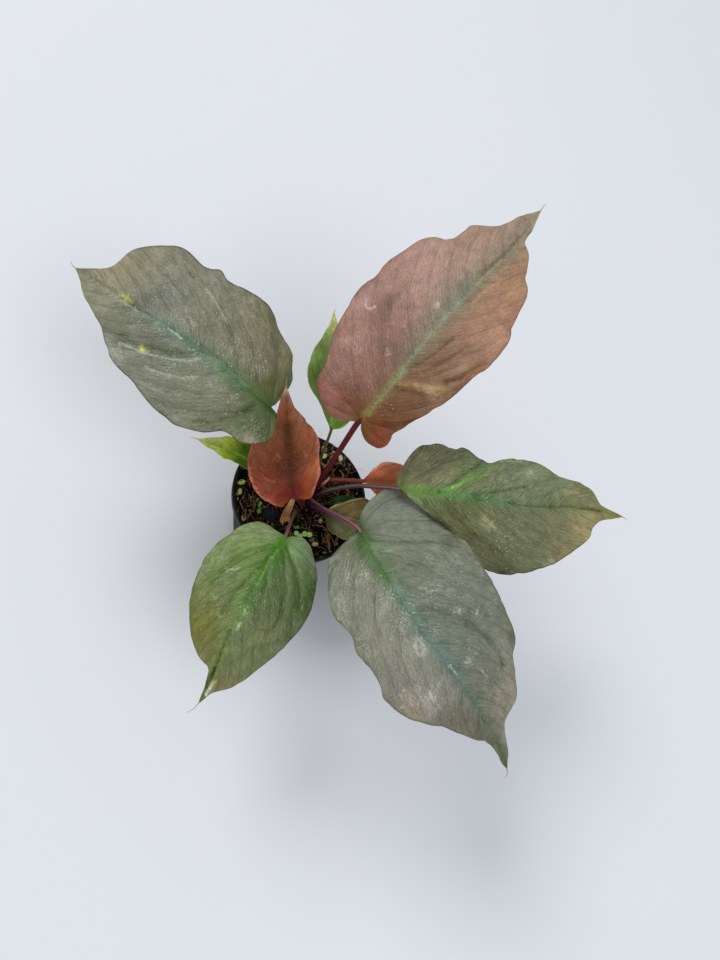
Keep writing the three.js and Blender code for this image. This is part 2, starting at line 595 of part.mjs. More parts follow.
// Tiny weeds as [x, y, lean in degrees, height, leaf radius]
const WEEDS = [[0, -22, 20, 3.2, 2.1], [6.2, -21, 80, 3, 2.3], [-2.6, -17.6, 150, 2.6, 1.6],
  [-23, -8.4, 220, 2.4, 1.4]];

// A thread stem with two round seed leaves, as one body
function weedSolid([x, y, degrees, height, radius], margin) {
  const ground = soilHeight(x, y);
  const foot = -3 - margin;
  const stem = turned([[0, foot], [0.5 + margin, foot], [0.45 + margin, height], [0, height]], 6);
  let solid = toSolid(stem);
  if (margin === 0) {
    [0, 180].forEach((turn) => {
      const leaf = turned([[0, 0], [radius * 0.8, 0.1], [radius, 0.4], [radius * 0.7, 0.7], [0, 0.6]], 10);
      const angle = THREE.MathUtils.degToRad(degrees + turn);
      leaf.scale(1, 0.85, 1);
      leaf.rotateY(-0.25);
      leaf.translate(radius * 0.85, 0, height - 0.45);
      leaf.rotateZ(angle);
      solid = solid.add(toSolid(leaf));
    });
  }
  return solid.translate([x, y, ground]);
}

// Build
const rooms = [stemSolid(CLEARANCE), ...Object.values(LEAVES).map((leaf) => (
  toSolid(stalkGeometry(leaf, CLEARANCE)))), toSolid(budSheathGeometry(CLEARANCE)),
...WEEDS.map((weed) => weedSolid(weed, CLEARANCE))];

addPiece('pot', potGeometry(), 0x141516, 0.45);

const soil = rooms.reduce((solid, room) => solid.subtract(room), toSolid(soilGeometry()));
addPiece('soil', toGeometry(soil), 0x1d1612, 0.95);

const stem = Object.values(LEAVES).reduce(
  (solid, leaf) => solid.subtract(toSolid(stalkGeometry(leaf, CLEARANCE))), stemSolid(0));
addPiece('stem_and_roots', toGeometry(stem), 0x4a3038, 0.6);

Object.entries(LEAVES).forEach(([letter, leaf]) => {
  const large = LARGE.includes(letter);
  const shares = large ? [0, 0.12, 0.4, 0.7, 1] : [0, 0.15, 0.55, 1];
  addPiece(`leaf_${letter}_blade`, bladeGeometry(leaf, large ? 24 : 12, shares), leaf.blade, 0.5);
  addPiece(`leaf_${letter}_stalk`, stalkGeometry(leaf, 0), leaf.stem, 0.45);
});

addPiece('dry_sheath', stripGeometry(DRY_SHEATH, 8, 2, 0.7), 0xb49155, 0.8);
addPiece('bud_sheath', budSheathGeometry(0), 0xd27078, 0.5);
WEEDS.forEach((weed, i) => addPiece(`weed_${i + 1}`, toGeometry(weedSolid(weed, 0)), 0x8ec850, 0.5));

export default homalomena;
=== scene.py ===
import math

import bpy
import numpy as np
from mathutils import Matrix, Vector


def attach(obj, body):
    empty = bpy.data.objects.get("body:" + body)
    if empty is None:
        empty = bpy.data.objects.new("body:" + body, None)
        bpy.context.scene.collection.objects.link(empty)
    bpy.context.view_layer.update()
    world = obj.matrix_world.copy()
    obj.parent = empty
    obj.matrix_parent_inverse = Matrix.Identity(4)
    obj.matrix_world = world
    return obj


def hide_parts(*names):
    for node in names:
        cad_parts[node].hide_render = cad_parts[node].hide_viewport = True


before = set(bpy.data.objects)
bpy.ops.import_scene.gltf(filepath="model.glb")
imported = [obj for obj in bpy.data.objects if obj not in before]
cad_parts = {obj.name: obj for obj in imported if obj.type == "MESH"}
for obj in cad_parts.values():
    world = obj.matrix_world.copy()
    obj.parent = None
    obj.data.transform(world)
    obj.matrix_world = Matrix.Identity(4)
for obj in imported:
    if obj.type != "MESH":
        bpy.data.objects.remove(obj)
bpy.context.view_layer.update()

MM = 0.001
UP = np.array([0.0, 0.0, 1.0])

# Pot and potting mix, as in the solids
POT_HEIGHT = 70
RIM_RADIUS = 39
RIM_BAND_HEIGHT = 8
WALL_TOP_RADIUS = 37
BASE_RADIUS = 28
WALL = 1.2
FLOOR = 1.6
DRAIN_RADIUS = 3
DRAIN_RING = 19
DRAIN_COUNT = 6
SOIL_LEVEL = 64.5
STEM_CENTRE = (3, -1)

# Leaves, each with the form of its solid:
#   rib          midrib points in space
#   left, right  margins as [from the midrib, along it] on the flat blade
#   roll         turn of the blade about its midrib at the foot and at the tip
#   fold, bow, lobe, wave  rise, droop, lobe lift and waves [height, number, phase] of the left and
#                right half
#   stalk, girth its line, and half width and half thickness at the foot and at the top
# The rest is the finer look. What a leaf leaves out is as in PLAIN_LEAF. Places on the blade are
# [from the midrib, left negative, along it]:
#   veins, quilt number of side veins, and how far the skin swells between them
#   sweep        lean of the side veins where they leave the midrib, and how much they bend on
#   creases      [depth, half width, points]
#   curls        [side, middle and reach as shares of the margin, lift, pull inwards]
#   washes       soft patches: [colour, centre, reach across and along, strength]. Some of them are
#                painted shade, such as the shadow of leaf c on leaf d, and some are painted light that
#                makes up for the shade of a blade's own folds
#   marks        scratches, scars and coloured veins: [colour, half width, strength, points or else
#                the number of the crease that they follow]. Among them are painted shade, as dark lines
#                in creases, and painted highlights, as pale lines on raised ridges and margins and glints
#   flecks       dusty places: [across, along, reach, number of specks]. On leaf e the first few are
#                painted glints drawn as pale specks
#   side_left, side_right, middle  colours as [share of the length, colour]
#   middle_width half width of the middle colour at the foot and at the tip
#   seen         colours are noted as seen: this is the sheen and the share of the light in them,
#                which are taken off to get the colour of the skin itself. The share is the light that
#                reaches the leaf in this scene, so a leaf that lies in shade here is painted lighter
#   edge, under, vein, dust_tone   colours of the margin, the underside, the side veins and the dust
#   vein_strength, stripe, silk    strength of the side veins, the fine veins and the silky streaks
#   dust, gloss  how much the dust shows, and the roughness of the skin
#   tip          line of the dry point
PLAIN_LEAF = dict(roll=[0, 0], lobe=[0, 0], curls=[], creases=[], sweep=(1.1, 0.9), vein_strength=0.3,
                  stripe=0.15)
LEAVES = {
    "a": dict(
        PLAIN_LEAF,
        rib=[[-32, 18, 140], [-55, 31, 147], [-80, 46, 149], [-104, 63, 142], [-130, 84, 131]],
        left=[[0.6, -2], [4, -5.5], [9, -8], [14, -8.2], [19, -6], [23.5, -2], [25.8, 3], [24.8, 8], [25.5, 12],
              [30, 16.5], [34, 22], [36.6, 30], [35.6, 38], [34.4, 48], [31.5, 57], [28.9, 68], [27.4, 74],
              [23.4, 80.5], [17.6, 89], [13.2, 99], [9, 108], [4.4, 115]],
        right=[[3, -1], [10, -1.5], [16, -2], [23, -1.6], [27, 2.5], [31, 6], [35, 12], [38.5, 20], [41, 26],
               [42.3, 33], [42.6, 40], [41, 46], [38, 51], [37.4, 55], [39, 60], [37.2, 65], [36.8, 71],
               [37.5, 79], [36, 87], [32, 94], [26, 98.4], [20, 101.2], [13, 105], [7, 109], [3.4, 115]],
        roll=[-4, 30], fold=[3, 3], bow=[3, 3], lobe=[5, -2], wave=[[1.2, 5.5, 0.3], [1.8, 6.5, 0]],
        stalk=[[-0.4, 2.6, 58], [-4, 7, 80], [-10, 12, 100], [-22, 17, 122], [-31.9, 18.2, 137.8]],
        girth=[[2.6, 1.7], [1.3, 1.2]], veins=9, quilt=0.7, sweep=(0.8, 0.8),
        creases=[[0.9, 1.6, [[-5, 45], [-9, 52], [-13, 61], [-16, 70], [-16.5, 80]]],
                 [-0.5, 1.2, [[-4, 40.5], [-12, 50], [-16, 60], [-18.5, 70], [-18.5, 82]]],
                 [0.8, 1.6, [[14, 60], [18, 70], [20.5, 79]]], [0.8, 1.4, [[10, 26], [14, 32], [19, 40]]],
                 [1.1, 2.0, [[-5, 6], [-16, 11], [-23, 16], [-30, 25]]],
                 [0.6, 1.2, [[-6, 12], [-15, 22], [-22, 32], [-28, 45]]]],
        washes_and_painted_light=[[(92, 98, 78), [-11, 58], [4, 9], 0.7], [(84, 92, 58), [-12, -4], [9, 5], 0.6],
                [(80, 98, 62), [-12, 6], [10, 5], 0.5], [(158, 158, 146), [-24, 74], [4, 7], 0.7],
                [(154, 144, 128), [-22, -1], [3, 4], 0.6], [(140, 142, 128), [-12, 29], [5, 5], 0.4],
                [(146, 145, 130), [36, 45], [5, 6], 0.5], [(100, 98, 74), [38, 28], [6, 7], 0.6],
                [(138, 140, 127), [12, 40], [4, 6], 0.4], [(106, 112, 100), [14, 68], [4, 10], 0.5],
                [(84, 90, 56), [9, 6], [9, 4.5], 0.7], [(150, 142, 112), [10, 101], [9, 7], 0.5],
                [(140, 132, 110), [30, 90], [6, 6], 0.5], [(88, 93, 80), [6.6, 77], [5, 5], 0.5],
                [(140, 146, 134), [-1, 36.5], [3, 6], 0.5], [(116, 132, 106), [0.6, 20], [3, 6], 0.5],
                [(154, 157, 136), [-7, 95], [6, 6], 0.5], [(132, 130, 104), [28, 20], [6, 8], 0.4],
                [(146, 140, 120), [33, 37], [6, 8], 0.4]],
        # Painted highlight: the first mark is a pale line on the crest of the raised ridge of crease 1, where
        # dust specks also lie
        marks=[[(178, 182, 170), 0.6, 0.8, [[-4, 40.5], [-8, 43.5], [-12, 50], [-16, 60], [-19, 76]]],
               [(174, 178, 164), 0.6, 0.6, [[-11, 36], [-16, 40.5], [-20.5, 49.5], [-22, 58]]],
               [(160, 164, 150), 0.5, 0.5, [[-20, 33], [-26, 41], [-29, 50], [-29.5, 58]]],
               [(168, 172, 160), 0.6, 0.5, [[-12, 28], [-10, 31], [-8, 28.5]]],
               [(178, 180, 166), 0.6, 0.7, [[19.5, 41], [21.5, 46], [25, 53], [27, 60]]],
               [(160, 164, 150), 0.5, 0.6, [[8, 53], [12, 61], [17, 71], [20, 80]]],
               [(196, 202, 188), 0.5, 0.8, [[-0.5, 53], [-0.5, 61]]],
               [(172, 176, 152), 0.5, 0.6, [[-1.2, 79], [-1, 90]]],
               [(64, 70, 52), 0.6, 0.8, [[28, 67.5], [29, 72]]],
               [(80, 86, 66), 0.6, 0.6, [[0.2, 72], [-0.4, 92]]],
               [(64, 88, 60), 0.8, 0.5, [[2, 12], [2.4, 44]]],
               # Painted shade: the next dark lines lie in creases 0, 4 and 3
               [(78, 84, 64), 1.2, 0.6, [[-6, 47], [-11, 56], [-15, 66], [-17, 77]]],
               [(70, 82, 50), 1.2, 0.6, [[-6, 7], [-16, 11], [-23, 16], [-30, 25]]],
               [(88, 94, 76), 0.9, 0.5, 3], [(178, 180, 96), 1.2, 0.8, [[1.2, 85], [1.4, 91]]],
               [(204, 202, 104), 1.2, 0.9, [[-15.6, 64.6], [-15.3, 66]]]],
        flecks=[[6, 53, 3, 16], [-5, 41, 3, 14], [-12, 49, 3, 12], [-15.5, 61, 2.5, 10], [-20, 49, 3, 12],
                [-15, 38, 3, 12], [15, 17, 5, 28], [14, 30, 5, 24], [35, 48, 5, 16], [21, 44, 3, 10],
                [-24, 74, 4, 34], [8, 56, 3, 8], [-6, 75, 4, 8], [-12, 20, 8, 16], [-16, 0, 6, 18],
                [4, 88, 4, 8], [20, 70, 14, 40], [0, 50, 30, 120]],
        side_left=[[0, (104, 109, 85)], [0.12, (116, 119, 98)], [0.4, (121, 124, 108)], [0.6, (117, 119, 104)],
                   [0.8, (126, 127, 106)], [1, (152, 149, 122)]],
        side_right=[[0, (98, 102, 70)], [0.1, (118, 115, 92)], [0.3, (124, 122, 104)], [0.6, (125, 125, 111)],
                    [0.8, (136, 132, 110)], [1, (146, 140, 112)]],
        middle=[[0, (58, 82, 34)], [0.12, (80, 106, 64)], [0.3, (88, 114, 90)], [0.5, (102, 119, 106)],
                [0.7, (118, 122, 106)], [1, (140, 136, 110)]],
        middle_width=[5, 3], seen=(0.026, 0.86), edge=(66, 60, 44), under=(98, 84, 70), vein=(84, 98, 76),
        vein_strength=0.25, dust=0.9, dust_tone=(186, 188, 172), silk=0.24, stripe=0.06, gloss=0.44,
        tip=[[-129.6, 83.7, 131.1], [-131.6, 85.6, 130.4], [-133, 88, 130]],
    ),
    "b": dict(
        PLAIN_LEAF,
        rib=[[14, 18, 140], [26, 33, 158], [41, 55, 174], [59, 78, 183], [81, 103, 187], [100, 132, 186]],
        left=[[1, -2], [4, -4.5], [8, -7.5], [14, -9.4], [21, -8.4], [27, -4.4], [31, 0], [32.5, 6], [34.5, 11],
              [38, 18], [40.4, 27], [41.5, 36], [43, 45], [43, 51], [42, 56], [40.2, 61], [40.6, 68], [41, 73],
              [39.4, 79], [37.6, 85], [34.6, 91], [31, 95.6], [27, 98.6], [25, 103], [24.4, 109], [23.6, 114],
              [20, 117.6], [16.6, 121], [13.6, 126.4], [11.6, 132], [9, 138], [4, 148]],
        right=[[1, -1], [3.4, -4], [7.6, -6.4], [12, -6], [16.6, -4], [18.6, -0.6], [18, 3.4], [17, 6],
               [18.4, 11], [20.6, 18], [22.6, 23], [24, 28], [26.4, 34], [28, 42], [29.4, 50], [31.4, 57],
               [32.2, 66], [31.8, 77], [28.8, 84.5], [26.6, 91], [24.6, 98], [22.4, 104], [19, 109],
               [15.4, 112.4], [12.4, 117.4], [9, 122], [5.6, 125.4], [3, 129.6], [2.4, 140]],
        roll=[8, 0], fold=[6, 6], bow=[5, 5], lobe=[0, -3], wave=[[1.6, 6.5, 0.1], [1.6, 7, 0.5]],
        stalk=[[6, 3.6, 58], [7.6, 5, 82], [9.4, 9, 104], [11.8, 14.4, 124], [13.5, 17.9, 137.9]],
        girth=[[2.6, 1.9], [1.5, 1.4]], veins=11, quilt=0.55, sweep=(0.75, 0.45),
        creases=[[1.4, 1.6, [[21, 41], [25, 47], [28, 54], [30, 60]]],
                 [-0.9, 1.8, [[3, 26], [10, 31], [16, 35], [22, 38]]],
                 [0.9, 3.0, [[-5, 18], [-14, 32], [-22, 44], [-27, 56]]],
                 [0.7, 1.2, [[4, 38], [8, 50], [11, 62]]], [0.7, 1.2, [[9, 38], [14, 49], [18, 60]]],
                 [0.6, 1.2, [[14, 40], [20, 51]]]],
        washes_and_painted_light=[[(178, 146, 139), [-38, 50], [5, 6], 0.6], [(152, 100, 92), [-40, 72], [3, 8], 0.5],
                [(112, 96, 76), [-26, 52], [3.5, 9], 0.5], [(176, 146, 132), [-22, 82], [9, 12], 0.45],
                [(158, 106, 96), [-26, -4], [8, 5], 0.7], [(96, 62, 44), [-10, 3], [9, 6], 0.7],
                [(122, 126, 110), [-5, 70], [7, 22], 0.6], [(104, 62, 34), [8, 4], [6, 5], 0.6],
                # Painted light and shade: the pale patches at [22, 35] and [16.6, 33.6] are a painted highlight
                # on the ridge, and the dark one at [27, 48] is painted shade in the fold
                [(118, 66, 50), [14, -1], [6, 5], 0.75], [(166, 134, 104), [22, 35], [4, 3], 0.6],
                [(176, 138, 116), [28, 74], [5, 10], 0.5], [(132, 88, 52), [27, 48], [3, 6], 0.6],
                [(170, 140, 110), [15, 106], [5, 6], 0.4], [(136, 120, 96), [-20, 104], [4, 10], 0.3],
                [(176, 124, 112), [-19, -3], [8, 6], 0.6], [(176, 148, 134), [-31, 27], [7, 9], 0.5],
                [(154, 124, 112), [-27, 10], [7, 8], 0.5], [(196, 172, 146), [16.6, 33.6], [4, 3], 0.6],
                [(162, 134, 112), [22, 50], [4, 7], 0.6], [(146, 118, 104), [-32, 78], [7, 8], 0.4],
                [(152, 126, 112), [-25, 91], [7, 8], 0.4], [(144, 118, 98), [-18, 107], [7, 7], 0.4],
                [(108, 94, 80), [-9, 38], [5, 9], 0.5]],
        marks=[[(148, 150, 112), 1.8, 0.75, [[0, 5], [-0.3, 34]]],
               [(146, 152, 126), 1.2, 0.6, [[-0.3, 30], [0, 76]]], [(132, 120, 54), 1.3, 0.8, [[0, 0], [0, 9]]],
               [(160, 148, 96), 0.8, 0.6, [[0.4, 90], [0.4, 112]]],
               # Painted shade: the mark that follows crease 2. Then a painted highlight on the crest of the
               # ridge of crease 1 with painted shade below it, painted shade in the fold of crease 0 with a
               # painted highlight on its edge, and painted shade in the furrows of creases 3 to 5
               [(98, 84, 62), 0.8, 0.6, [[-1.6, 96], [-1.3, 130]]], [(108, 92, 70), 2.2, 0.45, 2],
               [(172, 142, 96), 2.0, 0.6, [[4, 26.5], [12, 31.5], [18, 35.5], [24, 38]]],
               [(196, 170, 122), 1.0, 0.55, [[10, 31], [21, 37]]],
               [(96, 62, 42), 1.2, 0.6, [[6, 25], [14, 29.5], [22, 33]]],
               [(84, 54, 30), 1.3, 0.8, [[20.5, 41], [25, 47], [27.5, 53.5]]],
               [(160, 124, 76), 1.2, 0.6, [[26.5, 51], [30, 60]]],
               [(92, 68, 50), 0.7, 0.65, [[4, 38], [8, 50], [10, 60]]],
               [(96, 70, 52), 0.7, 0.6, [[9, 38], [14, 49], [17, 58]]], [(98, 72, 52), 0.7, 0.6, 5],
               [(184, 148, 98), 0.9, 0.6, [[5, 82], [6.3, 90], [7.4, 101]]],
               [(184, 150, 104), 0.6, 0.5, [[4.2, 105], [4.6, 110]]],
               [(186, 152, 104), 0.6, 0.5, [[15.6, 97], [14.6, 107]]],
               [(194, 158, 112), 0.6, 0.5, [[17, 87], [18.2, 93]]],
               [(204, 188, 180), 0.55, 0.9, [[-36.6, 49.5], [-35.6, 47], [-33.4, 46], [-31.4, 47],
                                             [-30.6, 49]]],
               [(192, 174, 162), 0.45, 0.7, [[-18.6, 91], [-17, 86.5]]],
               [(196, 190, 170), 0.8, 0.8, [[-6.8, 68.6], [-6.4, 67.6]]],
               [(188, 170, 158), 0.45, 0.7, [[-13.6, 52], [-12, 49.5]]],
               [(188, 170, 158), 0.5, 0.7, [[-12.6, 35.4], [-11.2, 33.6], [-9.8, 35]]]],
        flecks=[[-20, 20, 8, 26], [-28, 28, 5, 16], [-24, 26, 3, 10], [-7, 68, 2, 6], [-11, 35, 3, 8],
                [-20, 12, 9, 20], [4, 13, 4, 6], [-35, 20, 5, 18], [-14, 6, 8, 16], [-38, 45, 4, 10],
                [0, 70, 30, 70]],
        side_left=[[0, (118, 82, 68)], [0.1, (144, 106, 94)], [0.3, (152, 118, 107)], [0.5, (160, 129, 117)],
                   [0.7, (160, 134, 120)], [0.85, (154, 134, 118)], [1, (148, 135, 117)]],
        side_right=[[0, (124, 78, 56)], [0.12, (116, 84, 64)], [0.3, (128, 100, 80)], [0.45, (152, 118, 98)],
                    [0.65, (156, 121, 99)], [0.8, (160, 128, 102)], [1, (160, 146, 126)]],
        middle=[[0, (112, 86, 50)], [0.25, (120, 106, 82)], [0.45, (130, 120, 100)], [0.55, (124, 124, 106)],
                [0.7, (132, 124, 106)], [1, (146, 134, 114)]],
        middle_width=[5, 6], seen=(0.022, 0.8), edge=(134, 84, 74), under=(120, 62, 58), vein=(126, 100, 84),
        vein_strength=0.2, dust=0.5, dust_tone=(200, 180, 166), silk=0.15, stripe=0.14, gloss=0.5,
        tip=[[99.8, 131.6, 186], [102.6, 136.2, 185.6], [104.4, 138.2, 185]],
    ),
    "c": dict(
        PLAIN_LEAF,
        rib=[[41, -9, 121], [70, -15, 135], [105, -17, 138], [137, -14, 135], [171, -14, 127]],
        left=[[2, -1.4], [11, -1], [19, 0], [25, 3], [28, 6], [31, 11.5], [33.6, 15], [33, 20], [30.6, 24],
              [28.8, 27.4], [29.8, 31], [28, 35.4], [26, 40], [24.4, 45], [22.8, 49], [24, 54], [25.8, 60],
              [27.6, 68], [28.2, 74], [27, 78], [24, 82], [20.4, 86.4], [18.4, 91], [17.6, 97], [16, 103],
              [12.6, 109], [8.6, 114.6], [5, 119.4], [2.6, 126]],
        right=[[1, 1], [2.6, 4], [4.6, 9], [6.8, 14.6], [10, 18], [13.4, 22], [17, 27], [20.4, 32], [24, 36.4],
               [28.4, 40.4], [32.4, 44.6], [35.2, 50.4], [35.2, 59], [33.8, 69], [31.8, 78], [29, 87],
               [25.6, 94.6], [21.4, 101.6], [16.4, 107.4], [11, 111.4], [6.6, 116.6], [4.2, 121.4], [2.6, 128]],
        roll=[4, 0], fold=[3, 3], bow=[7, 10], lobe=[2, -2], wave=[[1.8, 6, 0.2], [1.2, 5, 0.4]],
        stalk=[[10, 1.6, 58], [10.8, 0.8, 73], [15.3, -0.2, 85.5], [24.4, -2.1, 99.5], [33, -6, 111.5],
               [40.7, -8.7, 119.2]],
        girth=[[2.2, 1.6], [1.2, 1.1]], veins=9, quilt=0.65, sweep=(0.9, 0.9),
        creases=[[-1.3, 1.5, [[-1, 22], [-5, 30], [-10, 36], [-18, 45], [-22, 52]]],
                 [1.0, 1.5, [[-6, 25], [-12, 31], [-18, 38], [-24, 45]]],
                 [1.0, 1.5, [[0, 41], [-5, 52], [-8.5, 61], [-11, 72]]],
                 [0.8, 1.8, [[8, 27], [14, 34], [20, 43], [26, 56]]], [0.7, 1.4, [[4, 42], [10, 54], [13, 68]]],
                 [0.6, 1.0, [[0.6, 62], [0.8, 80], [0.4, 118]]]],
        washes_and_painted_light=[[(84, 83, 60), [-27, 9], [5, 4], 0.6], [(70, 70, 46), [20, 39], [5, 5], 0.7],
                [(76, 78, 54), [28, 52], [6, 8], 0.7], [(56, 50, 32), [34, 56], [2, 7], 0.7],
                [(160, 160, 140), [31, 81], [3, 3], 0.6], [(148, 126, 94), [24, 91], [4, 7], 0.45],
                [(170, 160, 118), [13, 107], [8, 4], 0.5], [(150, 134, 96), [12, 100], [3, 6], 0.45],
                [(126, 130, 100), [12, 46], [4, 4], 0.4], [(146, 148, 124), [-19, 74], [3, 5], 0.6],
                [(82, 90, 64), [-18, 34], [4, 5], 0.5], [(84, 86, 58), [8, 29], [4, 5], 0.6],
                # Painted light: the four patches on this line and the next lighten the left of the blade near
                # its foot, where its own folds shade it
                [(146, 144, 114), [-19, 7.5], [8, 7], 0.6], [(136, 140, 104), [-5.4, 4.7], [4, 4], 0.4],
                [(140, 144, 106), [-14, 20], [6, 7], 0.5], [(134, 150, 100), [-16, 36], [6, 8], 0.5],
                [(90, 104, 76), [-8, 72], [6, 8], 0.4]],
        # A green line along the raised ridge of crease 0, with painted highlights on its crest
        marks=[[(98, 158, 58), 1.2, 0.8, [[-1.2, 22.5], [-4.5, 29], [-9, 34.5], [-13, 38.5]]],
               [(136, 194, 88), 0.7, 0.8, [[-3, 27.5], [-5.5, 31]]],
               [(84, 124, 58), 1.6, 0.6, [[-13, 38.5], [-18, 44.5], [-22, 51], [-24, 58]]],
               [(96, 150, 64), 0.6, 0.6, [[-10, 40], [-15, 46], [-19, 51]]],
               # Painted shade: the next three dark lines lie in creases 2 and 1 and in the crease along the
               # midrib
               [(56, 80, 44), 0.9, 0.7, [[-1.5, 38], [-5, 51], [-8.5, 61], [-10.5, 70]]],
               [(68, 84, 50), 0.9, 0.6, [[-6, 26], [-12, 32], [-18, 38.5], [-23, 44]]],
               [(70, 74, 42), 0.6, 0.8, [[0.2, 56], [0.8, 75], [0.5, 100], [0, 118]]],
               [(172, 152, 108), 0.9, 0.6, [[-8.4, 96], [-7.8, 104]]],
               [(172, 150, 108), 0.7, 0.6, [[11.6, 97], [12.6, 104]]],
               [(162, 140, 100), 0.6, 0.5, [[14.6, 96], [14.2, 104]]],
               [(170, 172, 128), 0.45, 0.6, [[9.5, 44], [12, 47.5], [15, 51]]],
               [(168, 170, 126), 0.4, 0.6, [[11, 44], [14, 48.5]]],
               # Painted shade: the second mark on this line darkens crease 3
               [(156, 178, 116), 0.8, 0.7, [[-24, 56], [-25.4, 65], [-27, 72]]], [(62, 64, 40), 1.0, 0.6, 3],
               [(112, 156, 100), 0.6, 0.7, [[3.6, 4], [5, 9], [7, 13.4]]]],
        flecks=[[-22, 28, 4, 22], [-18, 14, 9, 44], [-19, 74, 2.6, 30], [-11, 49, 2, 8], [13, 48, 3, 12],
                [12, 58, 3, 10], [-14, 60, 8, 20], [28, 82, 2, 8], [18, 56, 6, 14], [-28, 14, 4, 12],
                [0, 50, 26, 60]],
        side_left=[[0, (114, 118, 86)], [0.15, (118, 121, 93)], [0.3, (110, 118, 86)], [0.45, (117, 124, 98)],
                   [0.6, (112, 120, 92)], [0.8, (117, 120, 90)], [0.92, (140, 138, 98)], [1, (127, 124, 70)]],
        side_right=[[0, (98, 112, 76)], [0.2, (86, 90, 62)], [0.35, (102, 106, 77)], [0.55, (107, 111, 84)],
                    [0.7, (120, 120, 88)], [0.85, (142, 134, 96)], [1, (130, 126, 74)]],
        middle=[[0, (102, 128, 60)], [0.15, (88, 124, 66)], [0.3, (84, 116, 76)], [0.45, (94, 113, 85)],
                [0.7, (108, 115, 84)], [1, (124, 120, 68)]],
        middle_width=[4, 3], seen=(0.019, 0.76), edge=(72, 66, 42), under=(104, 84, 70), vein=(82, 92, 60),
        vein_strength=0.25, dust=0.7, dust_tone=(184, 186, 156), silk=0.32, stripe=0.2, gloss=0.46,
        tip=[[170.6, -14, 127.1], [173.6, -14.4, 126], [175.4, -15, 125]],
    ),
    "d": dict(
        PLAIN_LEAF,
        rib=[[17, -36, 128], [28, -60, 137], [44, -86, 140], [63, -105, 134], [86, -128, 120],
             [102, -146, 104]],
        left=[[2, -4], [4, -7], [8, -11], [14, -15], [22, -18], [30, -21], [36, -21], [42, -18], [46.6, -13],
              [47.4, -5], [46.4, 5], [45, 14], [47, 21], [48.6, 27], [48.8, 33], [48.8, 40], [49.6, 46],
              [49.8, 51], [49, 57], [47.4, 64], [46.4, 71], [46.6, 79], [45.4, 86], [42.6, 92], [39.6, 97],
              [36.4, 100], [32.6, 103.4], [31, 108], [28.6, 112.4], [25, 117], [21, 119.8], [16, 121.2],
              [11.6, 123], [8.8, 126.6], [7, 132], [4.6, 140]],
        right=[[1, 0], [5, 1.6], [10, 3.4], [16, 6], [21.4, 9], [25, 14], [28, 20], [30.4, 26], [32, 31],
               [32.9, 36], [31.4, 40.4], [31, 44], [32.3, 48.4], [31.4, 55], [30.8, 60], [32.4, 65],
               [34.5, 68.6], [34.3, 73], [33, 78.4], [31, 84], [28, 90], [24.8, 95.6], [20, 102], [15.4, 109.6],
               [11.4, 117], [7.2, 123], [4.2, 128.6], [2.8, 135], [2.2, 143]],
        fold=[6, 6], bow=[4, 4], lobe=[-8, -3], wave=[[1.4, 7, 0.3], [1.8, 6.5, 0.1]],
        stalk=[[6.6, -4.6, 58], [5.6, -5.6, 72], [5.6, -9.8, 82], [8.2, -16.6, 95.6], [12.6, -25.4, 111.4],
               [16.8, -34.9, 125.9]],
        girth=[[1.8, 5.8], [1.3, 1.3]], veins=9, quilt=0.7, sweep=(0.75, 0.8),
        creases=[[1.1, 1.5, [[-3, 7], [-10, 12], [-18, 15], [-28, 20], [-35, 23], [-42, 30]]],
                 [1.0, 1.4, [[-4, 16], [-10, 21], [-16, 28], [-23, 35]]],
                 [1.5, 1.7, [[-5, 50], [-11, 54.5], [-16, 60.5], [-20, 68], [-23, 76], [-25.5, 86],
                             [-26.2, 97], [-24, 104]]], [0.7, 1.3, [[-4, 33], [-12, 43], [-20, 51]]],
                 [0.7, 1.5, [[5, 26], [12, 38], [20, 48]]], [0.6, 1.4, [[3, 10], [14, 18], [24, 24]]],
                 [0.6, 1.3, [[-2, 0], [-16, 3], [-30, 6]]], [-0.7, 1.2, [[19.6, 101.6], [25, 95], [29, 88]]]],
        # Painted shadow: the first patch is where the shadow of leaf c falls on this blade
        washes_and_painted_light=[[(84, 88, 68), [-41, 25], [6, 5], 0.6], [(106, 96, 80), [-40, 94], [4, 5], 0.5],
                [(64, 68, 52), [-37, 98], [3, 2.5], 0.6], [(156, 148, 132), [-23, 113], [8, 5], 0.6],
                [(142, 132, 120), [-17, 115], [4, 3], 0.5], [(154, 150, 142), [20, 85], [5, 5], 0.5],
                [(142, 128, 106), [27, 83], [4, 6], 0.6], [(138, 130, 118), [24, 75], [8, 6], 0.5],
                [(110, 107, 92), [14, 98], [6, 8], 0.6], [(60, 88, 36), [3, 7], [4, 6], 0.7],
                [(78, 108, 66), [2.5, 24], [3, 9], 0.7], [(106, 120, 110), [-12, 64], [5, 12], 0.5],
                [(136, 140, 130), [9, 68], [7, 7], 0.35], [(146, 146, 130), [-30, 98], [6, 8], 0.5],
                [(130, 144, 130), [-1.5, 37], [3, 6], 0.5], [(124, 142, 118), [-3.6, 14.7], [4, 5], 0.5],
                [(134, 135, 124), [-40, 72], [5, 8], 0.4], [(136, 134, 126), [-33, 36], [7, 8], 0.35],
                [(162, 164, 150), [7, 2], [3.5, 3], 0.7]],
        # Painted shade: the next four marks darken creases 0 to 3
        marks=[[(74, 90, 64), 0.9, 0.7, 0], [(82, 100, 72), 0.8, 0.6, 1], [(80, 92, 74), 1.2, 0.65, 2],
               [(92, 104, 84), 0.7, 0.5, 3],
               [(184, 188, 178), 0.6, 0.55, [[3.6, 61], [4, 65], [6.5, 68], [8.8, 66], [8.6, 62], [6, 59.6],
                                             [4.4, 61]]],
               [(176, 180, 170), 0.8, 0.4, [[6, 65], [8, 61], [9.5, 58]]],
               [(206, 208, 202), 0.6, 0.9, [[17.8, 86.5], [16.4, 81.5]]],
